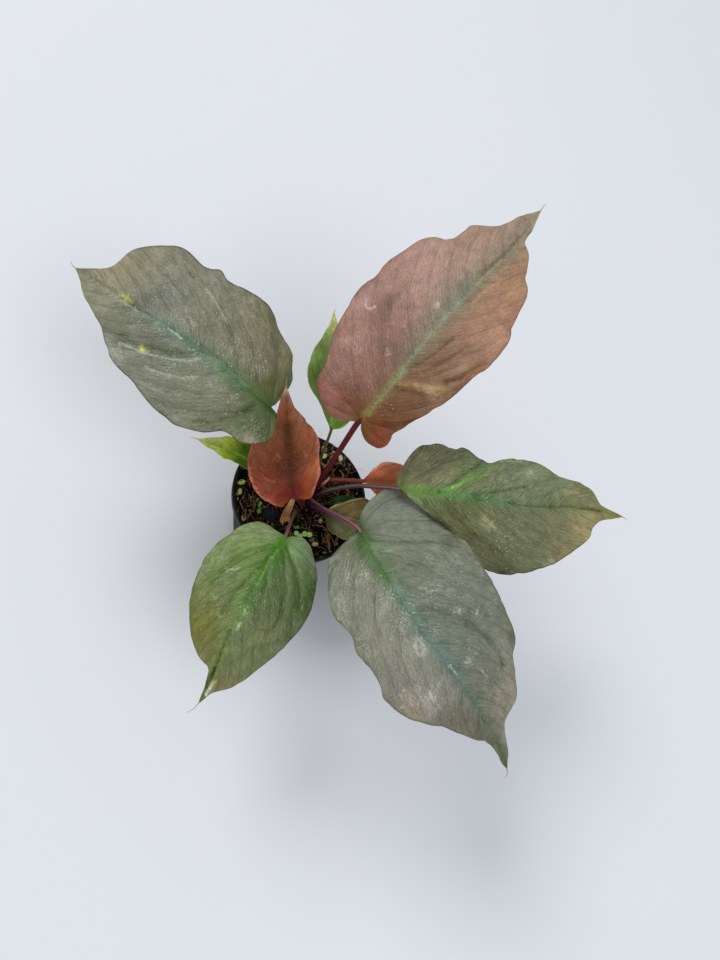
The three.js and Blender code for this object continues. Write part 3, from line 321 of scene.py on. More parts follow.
               [(164, 166, 156), 0.7, 0.55, [[6.5, 81], [9, 83], [11, 82]]],
               [(152, 164, 158), 1.5, 0.6, [[9, 40], [12.5, 42]]],
               [(168, 172, 160), 0.6, 0.7, [[-25.6, 29.5], [-24, 31], [-22.8, 28.6], [-25, 27.6]]],
               [(204, 206, 196), 0.6, 0.9, [[-29.4, 70.8], [-28.6, 71.4]]],
               [(158, 162, 150), 0.7, 0.55, [[-37.4, 35], [-37.4, 38.6], [-35, 39.6], [-34, 37]]],
               [(174, 178, 166), 0.5, 0.7, [[-16, 46.5], [-13, 44.5]]],
               [(180, 184, 172), 0.5, 0.7, [[-13, 43.4], [-10.4, 40.6]]],
               [(182, 184, 172), 0.6, 0.7, [[-21.6, 62.6], [-20.4, 63.8]]],
               [(176, 180, 168), 0.5, 0.7, [[-9.6, 87], [-7, 84.6]]],
               [(184, 186, 174), 0.5, 0.7, [[-12.8, 100], [-12.2, 95]]],
               [(164, 168, 156), 0.5, 0.6, [[14, 15], [19, 20]]],
               [(164, 168, 156), 0.5, 0.5, [[15, 18], [20, 23]]],
               [(162, 164, 152), 1.4, 0.6, [[19, 9.6], [23, 10.6]]],
               [(184, 194, 184), 0.5, 0.8, [[-0.4, 86], [0.2, 80]]],
               # Painted shade: a dark line along the raised fold of crease 7
               [(56, 56, 42), 0.8, 0.8, [[20, 101.4], [25, 95], [28.5, 89]]]],
        flecks=[[6.4, 63.4, 3.4, 46], [17, 84, 3, 18], [25, 76, 6, 46], [27, 46, 3, 14], [6, 50, 5, 30],
                [4, 38, 3, 18], [-29, 71, 2.4, 10], [-21, 63, 3, 10], [-13, 83, 3, 12], [-9, 86, 2, 8],
                [-20, 102, 2.4, 8], [-30, 101, 3, 10], [10, 24, 3, 10], [16, 24, 6, 18], [28, 32, 3, 10],
                [-18, 46, 6, 14], [-30, 50, 8, 14], [-44, 76, 4, 8], [-14, 108, 6, 16], [12, 90, 6, 14],
                [-36, 80, 5, 10], [0, 60, 34, 110]],
        curls=[[1, 0.66, 0.1, -2.2, 1.2], [0, 0.1, 0.06, 1.6, 1.6]],
        side_left=[[0, (122, 128, 112)], [0.2, (116, 121, 105)], [0.35, (117, 122, 107)],
                   [0.5, (113, 119, 106)], [0.65, (115, 117, 104)], [0.75, (130, 128, 112)],
                   [0.85, (141, 138, 125)], [1, (138, 135, 112)]],
        side_right=[[0, (108, 113, 92)], [0.15, (124, 127, 111)], [0.35, (126, 127, 113)],
                    [0.5, (128, 128, 114)], [0.6, (132, 128, 116)], [0.7, (114, 111, 96)],
                    [0.85, (104, 106, 88)], [1, (138, 134, 108)]],
        middle=[[0, (54, 82, 28)], [0.08, (70, 100, 52)], [0.2, (86, 112, 78)], [0.35, (98, 118, 104)],
                [0.5, (100, 118, 108)], [0.7, (104, 115, 102)], [0.85, (102, 106, 86)], [1, (84, 92, 52)]],
        middle_width=[5, 4], seen=(0.019, 0.83), edge=(92, 90, 70), under=(96, 84, 74), vein=(82, 94, 76),
        vein_strength=0.25, dust=1.0, dust_tone=(184, 186, 176), silk=0.24, stripe=0.07, gloss=0.44,
        tip=[[101.8, -145.7, 104.2], [103.3, -148.4, 101.2], [103.6, -150.6, 98]],
    ),
    "e": dict(
        PLAIN_LEAF,
        rib=[[-16, -37, 108], [-24, -50, 115], [-34, -70, 118], [-42, -87, 113], [-47, -104, 101],
             [-51, -117, 88]],
        left=[[1, -1], [4, -4], [8, -6.4], [12.6, -6], [17.4, -3], [20.4, 1], [23.4, 7], [26.4, 14], [28.6, 22],
              [29.6, 31], [29, 40], [28, 47], [26.4, 55], [24, 62], [21, 69.6], [18, 75], [14.6, 80],
              [11, 84.4], [7, 88.2], [3.6, 92]],
        right=[[1, -0.5], [6, -0.6], [11, -0.6], [15.4, 1.6], [18.6, 5.6], [21.4, 11], [23.6, 17.6], [25.6, 24],
               [27, 32], [27, 38], [25.8, 45.4], [23.4, 53], [20, 60], [15.4, 67.4], [10.6, 73], [6, 76.8],
               [2.6, 79], [1.3, 84]],
        fold=[3, 3], bow=[6, 6], wave=[[0.7, 5, 0], [0.7, 5, 0.5]],
        stalk=[[-3.4, -7.2, 58], [-3.8, -10.8, 73], [-8.8, -21.4, 88], [-15.8, -36.4, 106.8]],
        girth=[[1.9, 1.3], [0.9, 0.9]], veins=8, quilt=0.6,
        creases=[[1.1, 1.5, [[1.5, 9], [7, 18], [12, 26], [16, 34], [18, 42]]],
                 [1.0, 1.4, [[0.8, 18], [3.5, 30], [6, 42], [7, 52]]],
                 [1.0, 1.5, [[-3, 9], [-9, 18], [-14, 27], [-17.5, 38], [-18, 50]]],
                 [1.0, 1.5, [[-4, 5], [-13, 13], [-20, 22], [-24, 32]]],
                 [0.7, 1.3, [[-1.4, 22], [-5, 34], [-8, 48]]], [0.7, 1.4, [[4, 6], [13, 12], [20, 19]]],
                 [-0.7, 1.4, [[6, 12], [13, 20], [19, 30]]], [-0.8, 1.0, [[-1.7, 82], [-1.6, 94]]],
                 [1.0, 0.9, [[-0.2, 78], [-0.2, 92]]]],
        washes_and_painted_light=[[(142, 152, 114), [20, 14], [4, 4], 0.4], [(130, 144, 104), [22, 26], [4, 5], 0.5],
                [(74, 86, 54), [-26, 32], [4, 11], 0.6], [(76, 88, 54), [-25, 46], [4, 8], 0.5],
                [(118, 112, 70), [-15, 52], [4, 6], 0.5], [(104, 142, 58), [-9, 4], [5, 3], 0.6],
                [(124, 124, 60), [14, 58], [5, 8], 0.5], [(58, 100, 24), [-3, 8], [3, 6], 0.6],
                [(108, 134, 68), [14, 24], [4, 5], 0.5], [(134, 152, 120), [-8, -1.6], [5, 4], 0.6],
                [(118, 135, 112), [-16, 3.4], [5, 5], 0.6], [(122, 122, 92), [12, 1], [4, 3], 0.5]],
        # Painted shade: the first five marks darken creases 0 to 4
        marks=[[(62, 92, 38), 0.9, 0.7, 0], [(66, 94, 42), 0.8, 0.6, 1], [(60, 84, 42), 0.9, 0.6, 2],
               [(62, 84, 46), 0.9, 0.6, 3], [(70, 94, 50), 0.7, 0.5, 4],
               [(126, 152, 96), 0.6, 0.6, [[-0.5, 10], [-0.4, 30]]],
               # Painted highlights: a pale line on the raised ridge of crease 6, small bright glints, and a
               # white stripe on the ridge at the curled tip
               [(124, 142, 98), 0.8, 0.4, [[6, 11], [13, 19.5], [19, 29]]],
               [(190, 206, 172), 0.4, 0.7, [[13.4, 32.4], [15, 33.8]]],
               [(164, 184, 144), 0.4, 0.6, [[10.8, 30.4], [12.6, 32.4]]],
               [(180, 192, 158), 0.5, 0.7, [[-2.7, 52.6], [-2.4, 56.4]]],
               [(168, 184, 140), 0.4, 0.6, [[-1.7, 45.6], [-1.9, 49]]],
               [(220, 226, 214), 0.8, 0.9, [[-1.6, 84.6], [-1.6, 93]]],
               [(182, 180, 82), 0.8, 0.8, [[-2.8, 83.4], [-2.6, 87]]],
               # Painted shade: a dark line in the crease at the curled tip
               [(58, 74, 42), 0.7, 0.8, [[0.2, 58], [-0.6, 80], [-0.4, 90]]]],
        # The first five are painted glints drawn as pale specks; the rest are dust
        flecks=[[13, 48, 1.6, 4], [19, 48, 1.6, 4], [7, 10, 1, 4], [14, 33, 2, 10], [-2, 54, 1.5, 4],
                [-16, 30, 8, 18], [10, 54, 6, 14], [-5, 40, 4, 12], [-20, 8, 4, 10], [4, 2, 3, 8],
                [0, 40, 20, 40]],
        side_left=[[0, (100, 125, 75)], [0.12, (90, 108, 71)], [0.3, (82, 100, 65)], [0.45, (90, 102, 70)],
                   [0.6, (103, 115, 79)], [0.75, (110, 116, 83)], [0.9, (124, 119, 82)], [1, (106, 109, 49)]],
        side_right=[[0, (124, 139, 101)], [0.12, (116, 135, 91)], [0.25, (106, 125, 75)], [0.4, (102, 118, 71)],
                    [0.55, (104, 111, 68)], [0.7, (108, 109, 65)], [0.85, (136, 135, 99)], [1, (114, 117, 53)]],
        middle=[[0, (68, 116, 26)], [0.1, (62, 104, 28)], [0.25, (74, 110, 46)], [0.45, (90, 118, 64)],
                [0.6, (103, 120, 73)], [1, (110, 118, 56)]],
        middle_width=[4.5, 2.5], seen=(0.0155, 0.76), edge=(66, 78, 46), under=(104, 122, 72),
        vein=(64, 88, 44), dust=0.5, dust_tone=(190, 200, 166), silk=0.26, stripe=0.1, gloss=0.36,
        tip=[[-50.9, -116.6, 88.4], [-53, -119.4, 85], [-56, -121, 82.6]],
    ),
    "f": dict(
        PLAIN_LEAF,
        rib=[[-10, -11, 98], [-17, 3, 116], [-22, 16, 132], [-26, 27, 147]],
        left=[[1, -1], [4, -2], [7, -4.2], [10, -3], [13.4, 0], [17.4, 5], [20.2, 10], [21.6, 15], [22.2, 21],
              [21.8, 27], [20.4, 33], [17, 38.6], [11.6, 42.6], [7, 46], [4.6, 52], [2.6, 59]],
        right=[[1, -1.5], [4, -2], [8, -1.6], [10.6, 2.4], [12.6, 8], [14.4, 14], [15, 22], [15, 30],
               [14.4, 36.6], [13, 41.6], [10.2, 46], [6.6, 49.6], [3.8, 52.6], [2, 58]],
        roll=[10, 0], fold=[8, 20], bow=[4, 4], wave=[[0.6, 4, 0.2], [0.8, 4, 0.1]],
        stalk=[[0.6, -7, 58], [0.6, -7.4, 70], [-4.1, -8.8, 84], [-9.8, -11.2, 96.5]],
        girth=[[1.5, 1.1], [0.8, 0.8]], veins=6, quilt=0.4, sweep=(1.2, 1.0),
        creases=[[0.6, 1.4, [[-2, 8], [-7, 18], [-9, 30]]], [0.6, 1.4, [[2, 8], [5, 20], [6, 32]]]],
        washes_and_painted_light=[[(182, 88, 70), [-15, 2], [5, 4], 0.6], [(92, 46, 22), [-8, 24], [4, 7], 0.5],
                [(116, 54, 40), [-9, 5], [8, 6], 0.5], [(116, 52, 32), [7, 6], [6, 6], 0.5],
                [(212, 172, 140), [0, 63], [3, 3], 0.8], [(150, 76, 40), [8, 2], [5, 4], 0.5],
                [(150, 112, 92), [8, 47], [4, 3], 0.6], [(78, 26, 0), [-4.8, 2.5], [3.5, 3.5], 0.6],
                [(80, 24, 0), [3.4, 3.5], [3.5, 3.5], 0.6], [(74, 36, 12), [-5.7, 18.5], [4, 6], 0.6],
                [(70, 38, 10), [3, 19], [3.5, 6], 0.6], [(146, 88, 60), [1.5, 48], [3, 3], 0.4]],
        marks=[[(72, 46, 26), 2.0, 0.7, [[-0.5, 6], [0, 24], [0, 44]]],
               # Painted highlights: pale pink lines along both margins
               [(196, 124, 112), 0.8, 0.6, [[9.6, 0], [13, 10], [14.8, 22], [14.4, 36], [12.4, 42]]],
               [(186, 116, 100), 0.6, 0.6, [[-10, -2.6], [-17, 5], [-21, 14], [-21.8, 24]]],
               [(168, 116, 80), 0.35, 0.5, [[-7, 28], [-4.8, 25.4]]],
               [(164, 114, 80), 0.35, 0.5, [[7, 28], [8.6, 24]]],
               [(172, 116, 84), 0.4, 0.5, [[-14, 16], [-9, 12]]], [(60, 24, 8), 1.0, 0.6, [[0, 0], [0, 5]]]],
        flecks=[[-10, 24, 6, 20], [8, 20, 5, 12], [-14, 10, 5, 12], [0, 30, 12, 30]],
        curls=[[1, 0.7, 0.14, 2.4, 2.2]],
        side_left=[[0, (128, 56, 26)], [0.15, (124, 66, 46)], [0.35, (116, 62, 42)], [0.55, (118, 72, 52)],
                   [0.75, (120, 70, 50)], [0.9, (140, 90, 66)], [1, (156, 124, 100)]],
        side_right=[[0, (134, 60, 28)], [0.2, (146, 84, 58)], [0.4, (122, 72, 46)], [0.55, (134, 79, 55)],
                    [0.7, (138, 84, 62)], [0.85, (142, 102, 80)], [1, (152, 120, 96)]],
        middle=[[0, (96, 30, 0)], [0.12, (82, 34, 4)], [0.3, (82, 44, 20)], [0.5, (82, 50, 28)],
                [0.65, (80, 52, 31)], [0.8, (110, 64, 42)], [1, (148, 110, 88)]],
        middle_width=[5.5, 4], seen=(0.0125, 0.6), edge=(170, 96, 84), under=(122, 60, 44), vein=(86, 44, 26),
        dust=0.4, dust_tone=(190, 130, 104), silk=0.32, stripe=0.1, gloss=0.38,
        tip=[[-25.9, 26.8, 146.6], [-26.6, 28.6, 149.4], [-27.4, 29.4, 151.6]],
    ),
    "g": dict(
        PLAIN_LEAF,
        rib=[[10, 30, 98], [6, 48, 111], [4, 70, 121], [3, 87, 126]],
        left=[[0.8, 0.5], [3, 8], [8, 18], [11, 22], [14, 30], [13, 37], [10, 45], [6, 51], [2, 59]],
        right=[[0.8, 0.2], [6, 1], [11, 5], [13, 13], [13, 25], [11, 37], [7, 47], [3, 57]],
        fold=[10, 10], bow=[6, 6], wave=[[0.8, 4, 0.2], [0.6, 4, 0]],
        stalk=[[10.4, 17.5, 60], [9.6, 21.4, 78], [10, 29.8, 97]], girth=[[1.4, 1.1], [0.8, 0.8]], veins=6,
        quilt=0.4,
        washes_and_painted_light=[[(70, 92, 44), [-6, 30], [3, 8], 0.5], [(110, 134, 78), [8, 20], [3, 8], 0.4]],
        marks=[[(128, 152, 88), 0.6, 0.8, [[0, 3], [0, 40]]],
               [(176, 188, 134), 0.7, 0.7, [[-2, 58], [0, 61], [2, 57]]]],
        flecks=[[0, 30, 12, 14]],
        side_left=[[0, (86, 112, 48)], [0.55, (90, 110, 62)], [0.85, (112, 132, 80)], [1, (158, 164, 104)]],
        side_right=[[0, (86, 114, 46)], [0.5, (82, 112, 56)], [0.85, (98, 128, 70)], [1, (150, 158, 96)]],
        middle=[[0, (92, 122, 50)], [0.6, (98, 126, 66)], [1, (160, 166, 104)]],
        middle_width=[2, 1.5], seen=(0.015, 0.38), edge=(126, 146, 90), under=(104, 132, 74), vein=(70, 98, 46),
        dust=0.4, dust_tone=(180, 190, 150), silk=0.12, gloss=0.4,
        tip=[[3, 86.6, 125.9], [3.4, 89, 127], [4.4, 90.6, 127.4]],
    ),
    "h": dict(
        PLAIN_LEAF,
        rib=[[-18, 6, 84], [-35, 9, 93], [-53, 14, 97], [-62, 16, 96]],
        left=[[0.8, 0.6], [4, 4], [7, 12], [6, 20], [5, 27], [6, 33], [4, 40], [2, 45]],
        right=[[0.8, 0.6], [4, 4], [7, 13], [9, 23], [7, 33], [4, 38], [1.4, 44]],
        fold=[12, 12], bow=[0, 0], wave=[[0.4, 3, 0], [0.4, 3, 0.5]],
        stalk=[[-8, 5.4, 60], [-11.5, 5.6, 72], [-17.6, 5.8, 83.2]], girth=[[1.3, 1], [0.8, 0.8]], veins=5,
        quilt=0.35, washes_and_painted_light=[[(178, 186, 78), [-2, 41], [3, 4], 0.7]],
        marks=[[(150, 176, 72), 0.6, 0.7, [[0, 4], [0, 34]]]], flecks=[[0, 20, 8, 6]],
        side_left=[[0, (72, 104, 18)], [0.5, (78, 114, 18)], [0.7, (162, 196, 62)], [1, (246, 248, 176)]],
        side_right=[[0, (72, 104, 18)], [0.5, (82, 120, 18)], [0.7, (170, 204, 66)], [1, (246, 248, 172)]],
        middle=[[0, (92, 124, 30)], [0.7, (104, 140, 34)], [1, (180, 186, 76)]],
        middle_width=[1.5, 1], seen=(0.012, 0.5), edge=(164, 176, 76), under=(122, 152, 60), vein=(70, 104, 18),
        dust=0.2, dust_tone=(190, 196, 130), silk=0.14, gloss=0.38,
        tip=[[-61.6, 15.9, 96], [-64.4, 16.6, 95.4], [-66, 17, 94.8]],
    ),
    "i": dict(
        PLAIN_LEAF,
        rib=[[31, 5, 92], [48, 4, 96], [73, 6, 96]],
        left=[[1, 0], [3, 2], [6, 4], [9, 7], [11, 10], [11, 17], [10, 23], [7, 29], [3, 36]],
        right=[[1, 0.5], [5, 4], [10, 8], [11, 12], [10, 18], [7, 25], [3, 34]],
        fold=[12, 12], bow=[6, 6], wave=[[0.6, 3, 0], [0.5, 3, 0.4]],
        stalk=[[14.6, 10, 58], [14.4, 9.2, 70], [17.4, 6.9, 82], [30.6, 4.5, 91]],
        girth=[[1.7, 1.2], [1.1, 1]], veins=5, quilt=0.35,
        washes_and_painted_light=[[(100, 60, 40), [0, 6], [3, 6], 0.6], [(178, 142, 114), [-3, 26], [6, 6], 0.6]],
        marks=[[(184, 122, 92), 0.6, 0.7, [[-5, 3.6], [-9, 7.4], [-10.8, 12], [-10.6, 18]]]],
        flecks=[],
        side_left=[[0, (134, 76, 54)], [0.5, (146, 88, 64)], [1, (150, 96, 66)]],
        side_right=[[0, (122, 64, 46)], [1, (140, 86, 60)]],
        middle=[[0, (104, 58, 38)], [0.5, (118, 72, 50)], [1, (132, 82, 58)]],
        middle_width=[2, 1], seen=(0.015, 0.27), edge=(188, 124, 96), under=(132, 70, 54), vein=(106, 58, 42),
        dust=0.2, dust_tone=(190, 150, 120), silk=0.14, gloss=0.38,
        tip=[[72.6, 6, 96], [75, 6.4, 95.6], [76.4, 7, 95]],
    ),
    "j": dict(
        PLAIN_LEAF,
        rib=[[12.6, -13.6, 80], [21, -15, 83], [31, -17, 85], [52, -19, 83]],
        left=[[1, 0], [3, 0.5], [6, 4], [8, 7], [11, 12], [13, 18], [13, 24], [11, 31], [5, 37]],
        right=[[1, 0], [3, 0], [6, 1], [9, 3.5], [12, 8], [13, 14], [12, 21], [8, 29], [4, 36]],
        fold=[8, 8], bow=[6, 6], wave=[[0.6, 3, 0], [0.6, 3, 0.3]],
        stalk=[[15.5, -9.5, 58], [14, -11.4, 69], [12.6, -13.3, 77.5]], girth=[[1.2, 1], [0.8, 0.8]], veins=5,
        quilt=0.35,
        washes_and_painted_light=[[(108, 124, 90), [6, 25], [3, 5], 0.6], [(44, 42, 20), [-2, 4], [3, 4], 0.5]],
        marks=[[(162, 144, 104), 0.6, 0.7, [[-4, 1.4], [-8, 6.6], [-11, 12], [-12.8, 18]]],
               [(128, 118, 84), 0.5, 0.6, [[0, 6], [0, 26]]]],
        flecks=[[-8, 14, 4, 6]],
        side_left=[[0, (92, 80, 44)], [0.35, (106, 92, 58)], [0.7, (92, 88, 56)], [1, (84, 86, 50)]],
        side_right=[[0, (56, 52, 26)], [0.5, (84, 88, 60)], [0.8, (100, 110, 78)], [1, (98, 104, 70)]],
        middle=[[0, (50, 46, 20)], [0.6, (76, 78, 54)], [1, (90, 92, 60)]], middle_width=[3, 1.5],
        seen=(0.014, 0.34), edge=(150, 132, 96), under=(100, 84, 60), vein=(62, 58, 34), dust=0.3,
        dust_tone=(176, 170, 140), silk=0.14, gloss=0.4,
        tip=[[51.6, -19, 83], [53.6, -19.6, 82.6], [54.6, -20, 82]],
    ),
    "k": dict(
        PLAIN_LEAF,
        rib=[[16.4, -3.6, 74], [22, -4, 75], [37.4, -4.4, 76]],
        left=[[0.8, 0.2], [3, 3], [4.4, 8], [4, 13], [2, 18]],
        right=[[0.8, 0.2], [3.6, 3], [5, 8], [4.4, 13], [2, 18]], fold=[12, 12], bow=[0, 0],
        wave=[[0.3, 3, 0], [0.3, 3, 0.5]], stalk=[[16, -1.6, 58], [16, -2.6, 67], [16.2, -3.3, 71.5]],
        girth=[[1, 0.9], [0.7, 0.7]], veins=4, quilt=0.2, washes_and_painted_light=[],
        marks=[[(88, 112, 44), 0.5, 0.6, [[0, 3], [0, 16]]]], flecks=[],
        # Painted shade and light: the foot of this leaf is painted darker where it lies in shade under the
        # others, and its tip lighter where the light reaches it
        side_left=[[0, (18, 60, 10)], [0.5, (28, 72, 12)], [1, (74, 98, 34)]],
        side_right=[[0, (20, 64, 10)], [0.5, (34, 80, 14)], [1, (76, 106, 34)]],
        middle=[[0, (14, 52, 8)], [0.6, (34, 76, 14)], [1, (78, 104, 34)]], middle_width=[1, 0.8],
        seen=(0.022, 0.55), edge=(92, 124, 52), under=(60, 92, 34), vein=(36, 62, 18), dust=0.2,
        dust_tone=(160, 176, 120), silk=0.12, gloss=0.6,
        tip=[[37, -4.4, 76], [38.6, -4.6, 75.8], [39.4, -4.8, 75.4]],
    ),
}
LARGE = "abcde"

# Colours of the leaf stalks from the foot up, and the painted highlight on their upper edge
STALKS = {
    "a": [[0, (92, 40, 50)], [0.5, (104, 52, 62)], [1, (98, 78, 62)]],
    "b": [[0, (62, 14, 24)], [0.6, (94, 18, 32)], [1, (110, 32, 42)]],
    "c": [[0, (66, 40, 44)], [0.6, (86, 60, 62)], [1, (122, 100, 90)]],
    "d": [[0, (60, 28, 40)], [0.45, (84, 48, 62)], [0.8, (126, 82, 86)], [1, (126, 98, 90)]],
    "e": [[0, (82, 54, 48)], [0.6, (112, 88, 76)], [1, (118, 100, 82)]],
    "f": [[0, (84, 22, 34)], [0.6, (100, 26, 34)], [1, (120, 40, 22)]],
    "g": [[0, (76, 74, 42)], [0.6, (84, 84, 44)], [1, (84, 108, 44)]],
    "h": [[0, (92, 84, 48)], [0.6, (90, 100, 44)], [1, (96, 128, 40)]],
    "i": [[0, (110, 36, 40)], [0.6, (122, 44, 42)], [1, (136, 66, 50)]],
    "j": [[0, (92, 66, 46)], [1, (98, 90, 54)]],
    "k": [[0, (70, 92, 40)], [1, (70, 104, 34)]],
}
STALK_PAINTED_HIGHLIGHT = {"a": (150, 110, 104), "b": (120, 48, 58), "c": (166, 140, 138), "d": (156, 108, 118),
               "e": (142, 122, 114), "f": (160, 70, 70), "i": (190, 104, 96)}
PLAIN_STALK_PAINTED_HIGHLIGHT = (150, 140, 90)
STALK_SHEEN = 0.014
# Ridges of a stalk: number, height as a share of its girth, and the strength of the painted shade
# between them and of the painted light on their crests
STALK_RIDGES = {"c": (5, 0.08, 0.5), "d": (5, 0.1, 0.5)}
PLAIN_RIDGES = (9, 0.035, 0)


# Colours

def linear(colour):
    """An sRGB colour of 0 to 255 as linear values."""
    c = np.asarray(colour, float) / 255
    return np.where(c <= 0.04045, c / 12.92, ((c + 0.055) / 1.055) ** 2.4)


def rgba(colour):
    return (*linear(colour).tolist(), 1.0)


def skin(leaf, colour):
    """An as-seen leaf colour as the linear colour of the skin itself."""
    # Painted light: dividing by the share makes a leaf that lies in shade in this scene lighter
    sheen, share = leaf["seen"]
    return np.clip((linear(colour) - sheen) / share, 0.001, 0.95)


def skin_rgba(leaf, colour):
    return (*skin(leaf, colour).tolist(), 1.0)


def gradient(stops, share, leaf=None):
    """Linear colours at shares of a list of [share, colour]."""
    at = [stop[0] for stop in stops]
    colours = np.array([skin(leaf, stop[1]) if leaf else linear(stop[1]) for stop in stops])
    return np.stack([np.interp(share, at, colours[:, k]) for k in range(3)], -1)


# Curves

CURVE_STEPS = 16


def unit(v):
    return v / np.maximum(np.linalg.norm(v, axis=-1, keepdims=True), 1e-9)


def smooth(value):
    v = np.clip(value, 0, 1)
    return v * v * (3 - 2 * v)


def smooth_line(points, steps=CURVE_STEPS):
    """A polyline along a smooth curve through the points, with its running length."""
    p = np.asarray(points, float)
    padded = np.vstack([2 * p[0] - p[1], p, 2 * p[-1] - p[-2]])
    t = (np.arange(steps) / steps)[:, None]
    parts = []
    for i in range(len(p) - 1):
        p0, p1, p2, p3 = padded[i:i + 4]
        parts.append(0.5 * (2 * p1 + (p2 - p0) * t + (2 * p0 - 5 * p1 + 4 * p2 - p3) * t ** 2
                            + (3 * p1 - p0 - 3 * p2 + p3) * t ** 3))
    line = np.vstack(parts + [p[-1:]])
    run = np.concatenate([[0], np.cumsum(np.linalg.norm(np.diff(line, axis=0), axis=1))])
    return line, run


def along(path, distance):
    """Points at distances along a polyline, running straight on past both ends."""
    line, run = path
    d = np.asarray(distance, float)
    inside = np.clip(d, 0, run[-1])
    points = np.stack([np.interp(inside, run, line[:, k]) for k in range(line.shape[1])], -1)
    before = np.minimum(d, 0)[..., None] * unit(line[1] - line[0])
    after = np.maximum(d - run[-1], 0)[..., None] * unit(line[-1] - line[-2])
    return points + before + after


def from_polyline(x, y, points):
    """Distance on the flat blade from a polyline."""
    p = np.asarray(points, float)
    best = np.full(np.shape(x), 1e9)
    for (ax, ay), (bx, by) in zip(p[:-1], p[1:]):
        dx, dy = bx - ax, by - ay
        t = np.clip(((x - ax) * dx + (y - ay) * dy) / (dx * dx + dy * dy), 0, 1)
        best = np.minimum(best, np.hypot(x - ax - t * dx, y - ay - t * dy))
    return best


# Repeatable smooth noise between -1 and 1

def lattice(ix, iy, seed):
    """A hash of whole numbers, spread from -1 to 1."""
    h = (ix * 374761393 + iy * 668265263 + seed * 974634777) & 0xFFFFFFFF
    h = ((h ^ (h >> 13)) * 1274126177) & 0xFFFFFFFF
    return ((h ^ (h >> 16)) & 0xFFFF) / 32767.5 - 1


def noise(x, y, seed):
    x, y = np.broadcast_arrays(np.asarray(x, float), np.asarray(y, float))
    ix, iy = np.floor(x).astype(np.int64), np.floor(y).astype(np.int64)
    fx, fy = smooth(x - ix), smooth(y - iy)
    low = lattice(ix, iy, seed) * (1 - fx) + lattice(ix + 1, iy, seed) * fx
    high = lattice(ix, iy + 1, seed) * (1 - fx) + lattice(ix + 1, iy + 1, seed) * fx
    return low * (1 - fy) + high * fy


def layers(x, y, seed, sizes, start=0):
    """Noise in layers of [height, size, what is added to the seed]."""
    return sum((height * noise(x / size, y / size, seed + more) for height, size, more in sizes), start)


# Meshes

def add_object(name, data):
    made = bpy.data.objects.new(name, data)
    bpy.context.scene.collection.objects.link(made)
    return made


def add_mesh(name, points, faces):
    """A mesh from millimetre points."""
    mesh = bpy.data.meshes.new(name)
    mesh.from_pydata((np.asarray(points) * MM).tolist(), [], [list(map(int, f)) for f in faces])
    return mesh


def shade_smooth(mesh):
    mesh.polygons.foreach_set("use_smooth", np.ones(len(mesh.polygons), bool))


def make_piece(name, points, faces, material, replaced=(), attributes=None):
    """A smooth-shaded mesh object that rides on the part."""
    mesh = add_mesh(name, points, faces)
    shade_smooth(mesh)
    for key, values in (attributes or {}).items():
        kind, field = "FLOAT_VECTOR", "vector"
        if key == "tint":
            kind, field = "FLOAT_COLOR", "color"
            values = np.concatenate([values, np.ones((len(values), 1))], 1)
        layer = mesh.attributes.new(key, kind, "POINT")
        layer.data.foreach_set(field, np.asarray(values, np.float32).ravel())
    mesh.materials.append(material)
    mesh.update()
    piece = add_object(name, mesh)
    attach(piece, "root")
    if replaced:
        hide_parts(*replaced)
    return piece


class Heap:
    """Gathers shells into one mesh, with their attributes."""

    def __init__(self):
        self.points, self.faces, self.values, self.count = [], [], {}, 0

    def add(self, points, faces, **attributes):
        self.points.append(points)
        self.faces += [[i + self.count for i in f] for f in faces]
        for key, value in attributes.items():
            filled = np.broadcast_to(np.asarray(value, float), (len(points), 3))
            self.values.setdefault(key, []).append(filled)
        self.count += len(points)

    def piece(self, name, material, slot_name, replaced=()):
        values = {key: np.concatenate(parts) for key, parts in self.values.items()}
        make_piece(name, np.concatenate(self.points), self.faces, material, replaced, values)


def sheet_faces(rows, columns, step=1):
    """Faces of a closed sheet: a top grid, a bottom grid with every step-th column, and the rim."""
    at = np.arange(rows * columns).reshape(rows, columns)
    fewer = (columns - 1) // step + 1
    under = rows * columns + np.arange(rows * fewer).reshape(rows, fewer)
    faces = []
    for ring in ((at[:-1, :-1], at[:-1, 1:], at[1:, 1:], at[1:, :-1]),
                 (under[:-1, :-1], under[1:, :-1], under[1:, 1:], under[:-1, 1:]),
                 (at[:-1, -1], under[:-1, -1], under[1:, -1], at[1:, -1]),
                 (at[1:, 0], under[1:, 0], under[:-1, 0], at[:-1, 0])):
        faces += np.stack(ring, -1).reshape(-1, 4).tolist()
    for j in range(fewer - 1):
        first, last = (at[row, step * j:step * j + step + 1].tolist() for row in (0, -1))
        faces.append([int(under[0, j]), int(under[0, j + 1])] + first[::-1])
        faces.append([int(under[-1, j + 1]), int(under[-1, j])] + last)
    return faces


def around(sides):
    """Angles of the points of a ring."""
    return 2 * np.pi * np.arange(sides) / sides


def ring_grid(rings, sides):
    """Point numbers of rings that lie one after the other."""
    return np.arange(rings * sides).reshape(rings, sides)


def ring_faces(at, turned=False):
    """Quads between rings of point numbers, to the other side where turned."""
    ahead = np.roll(at, -1, axis=1)
    corners = [at[:-1], ahead[:-1], ahead[1:], at[1:]]
    if turned:
        corners = corners[:1] + corners[:0:-1]
    return np.stack(corners, -1).reshape(-1, 4)


def tube_faces(rings, sides):
    """Faces of a tube of rings, closed at both ends."""
    at = ring_grid(rings, sides)
    return ring_faces(at).tolist() + [at[0, ::-1].tolist(), at[-1].tolist()]


def ring_points(radius, height, sides):
    """Rings of points about the pot's axis, from a radius and a height for each."""
    radius = np.asarray(radius, float)[:, None]
    x, y = radius * np.cos(around(sides)), radius * np.sin(around(sides))
    return np.stack([x, y, np.broadcast_to(np.asarray(height, float)[:, None], x.shape)], -1)


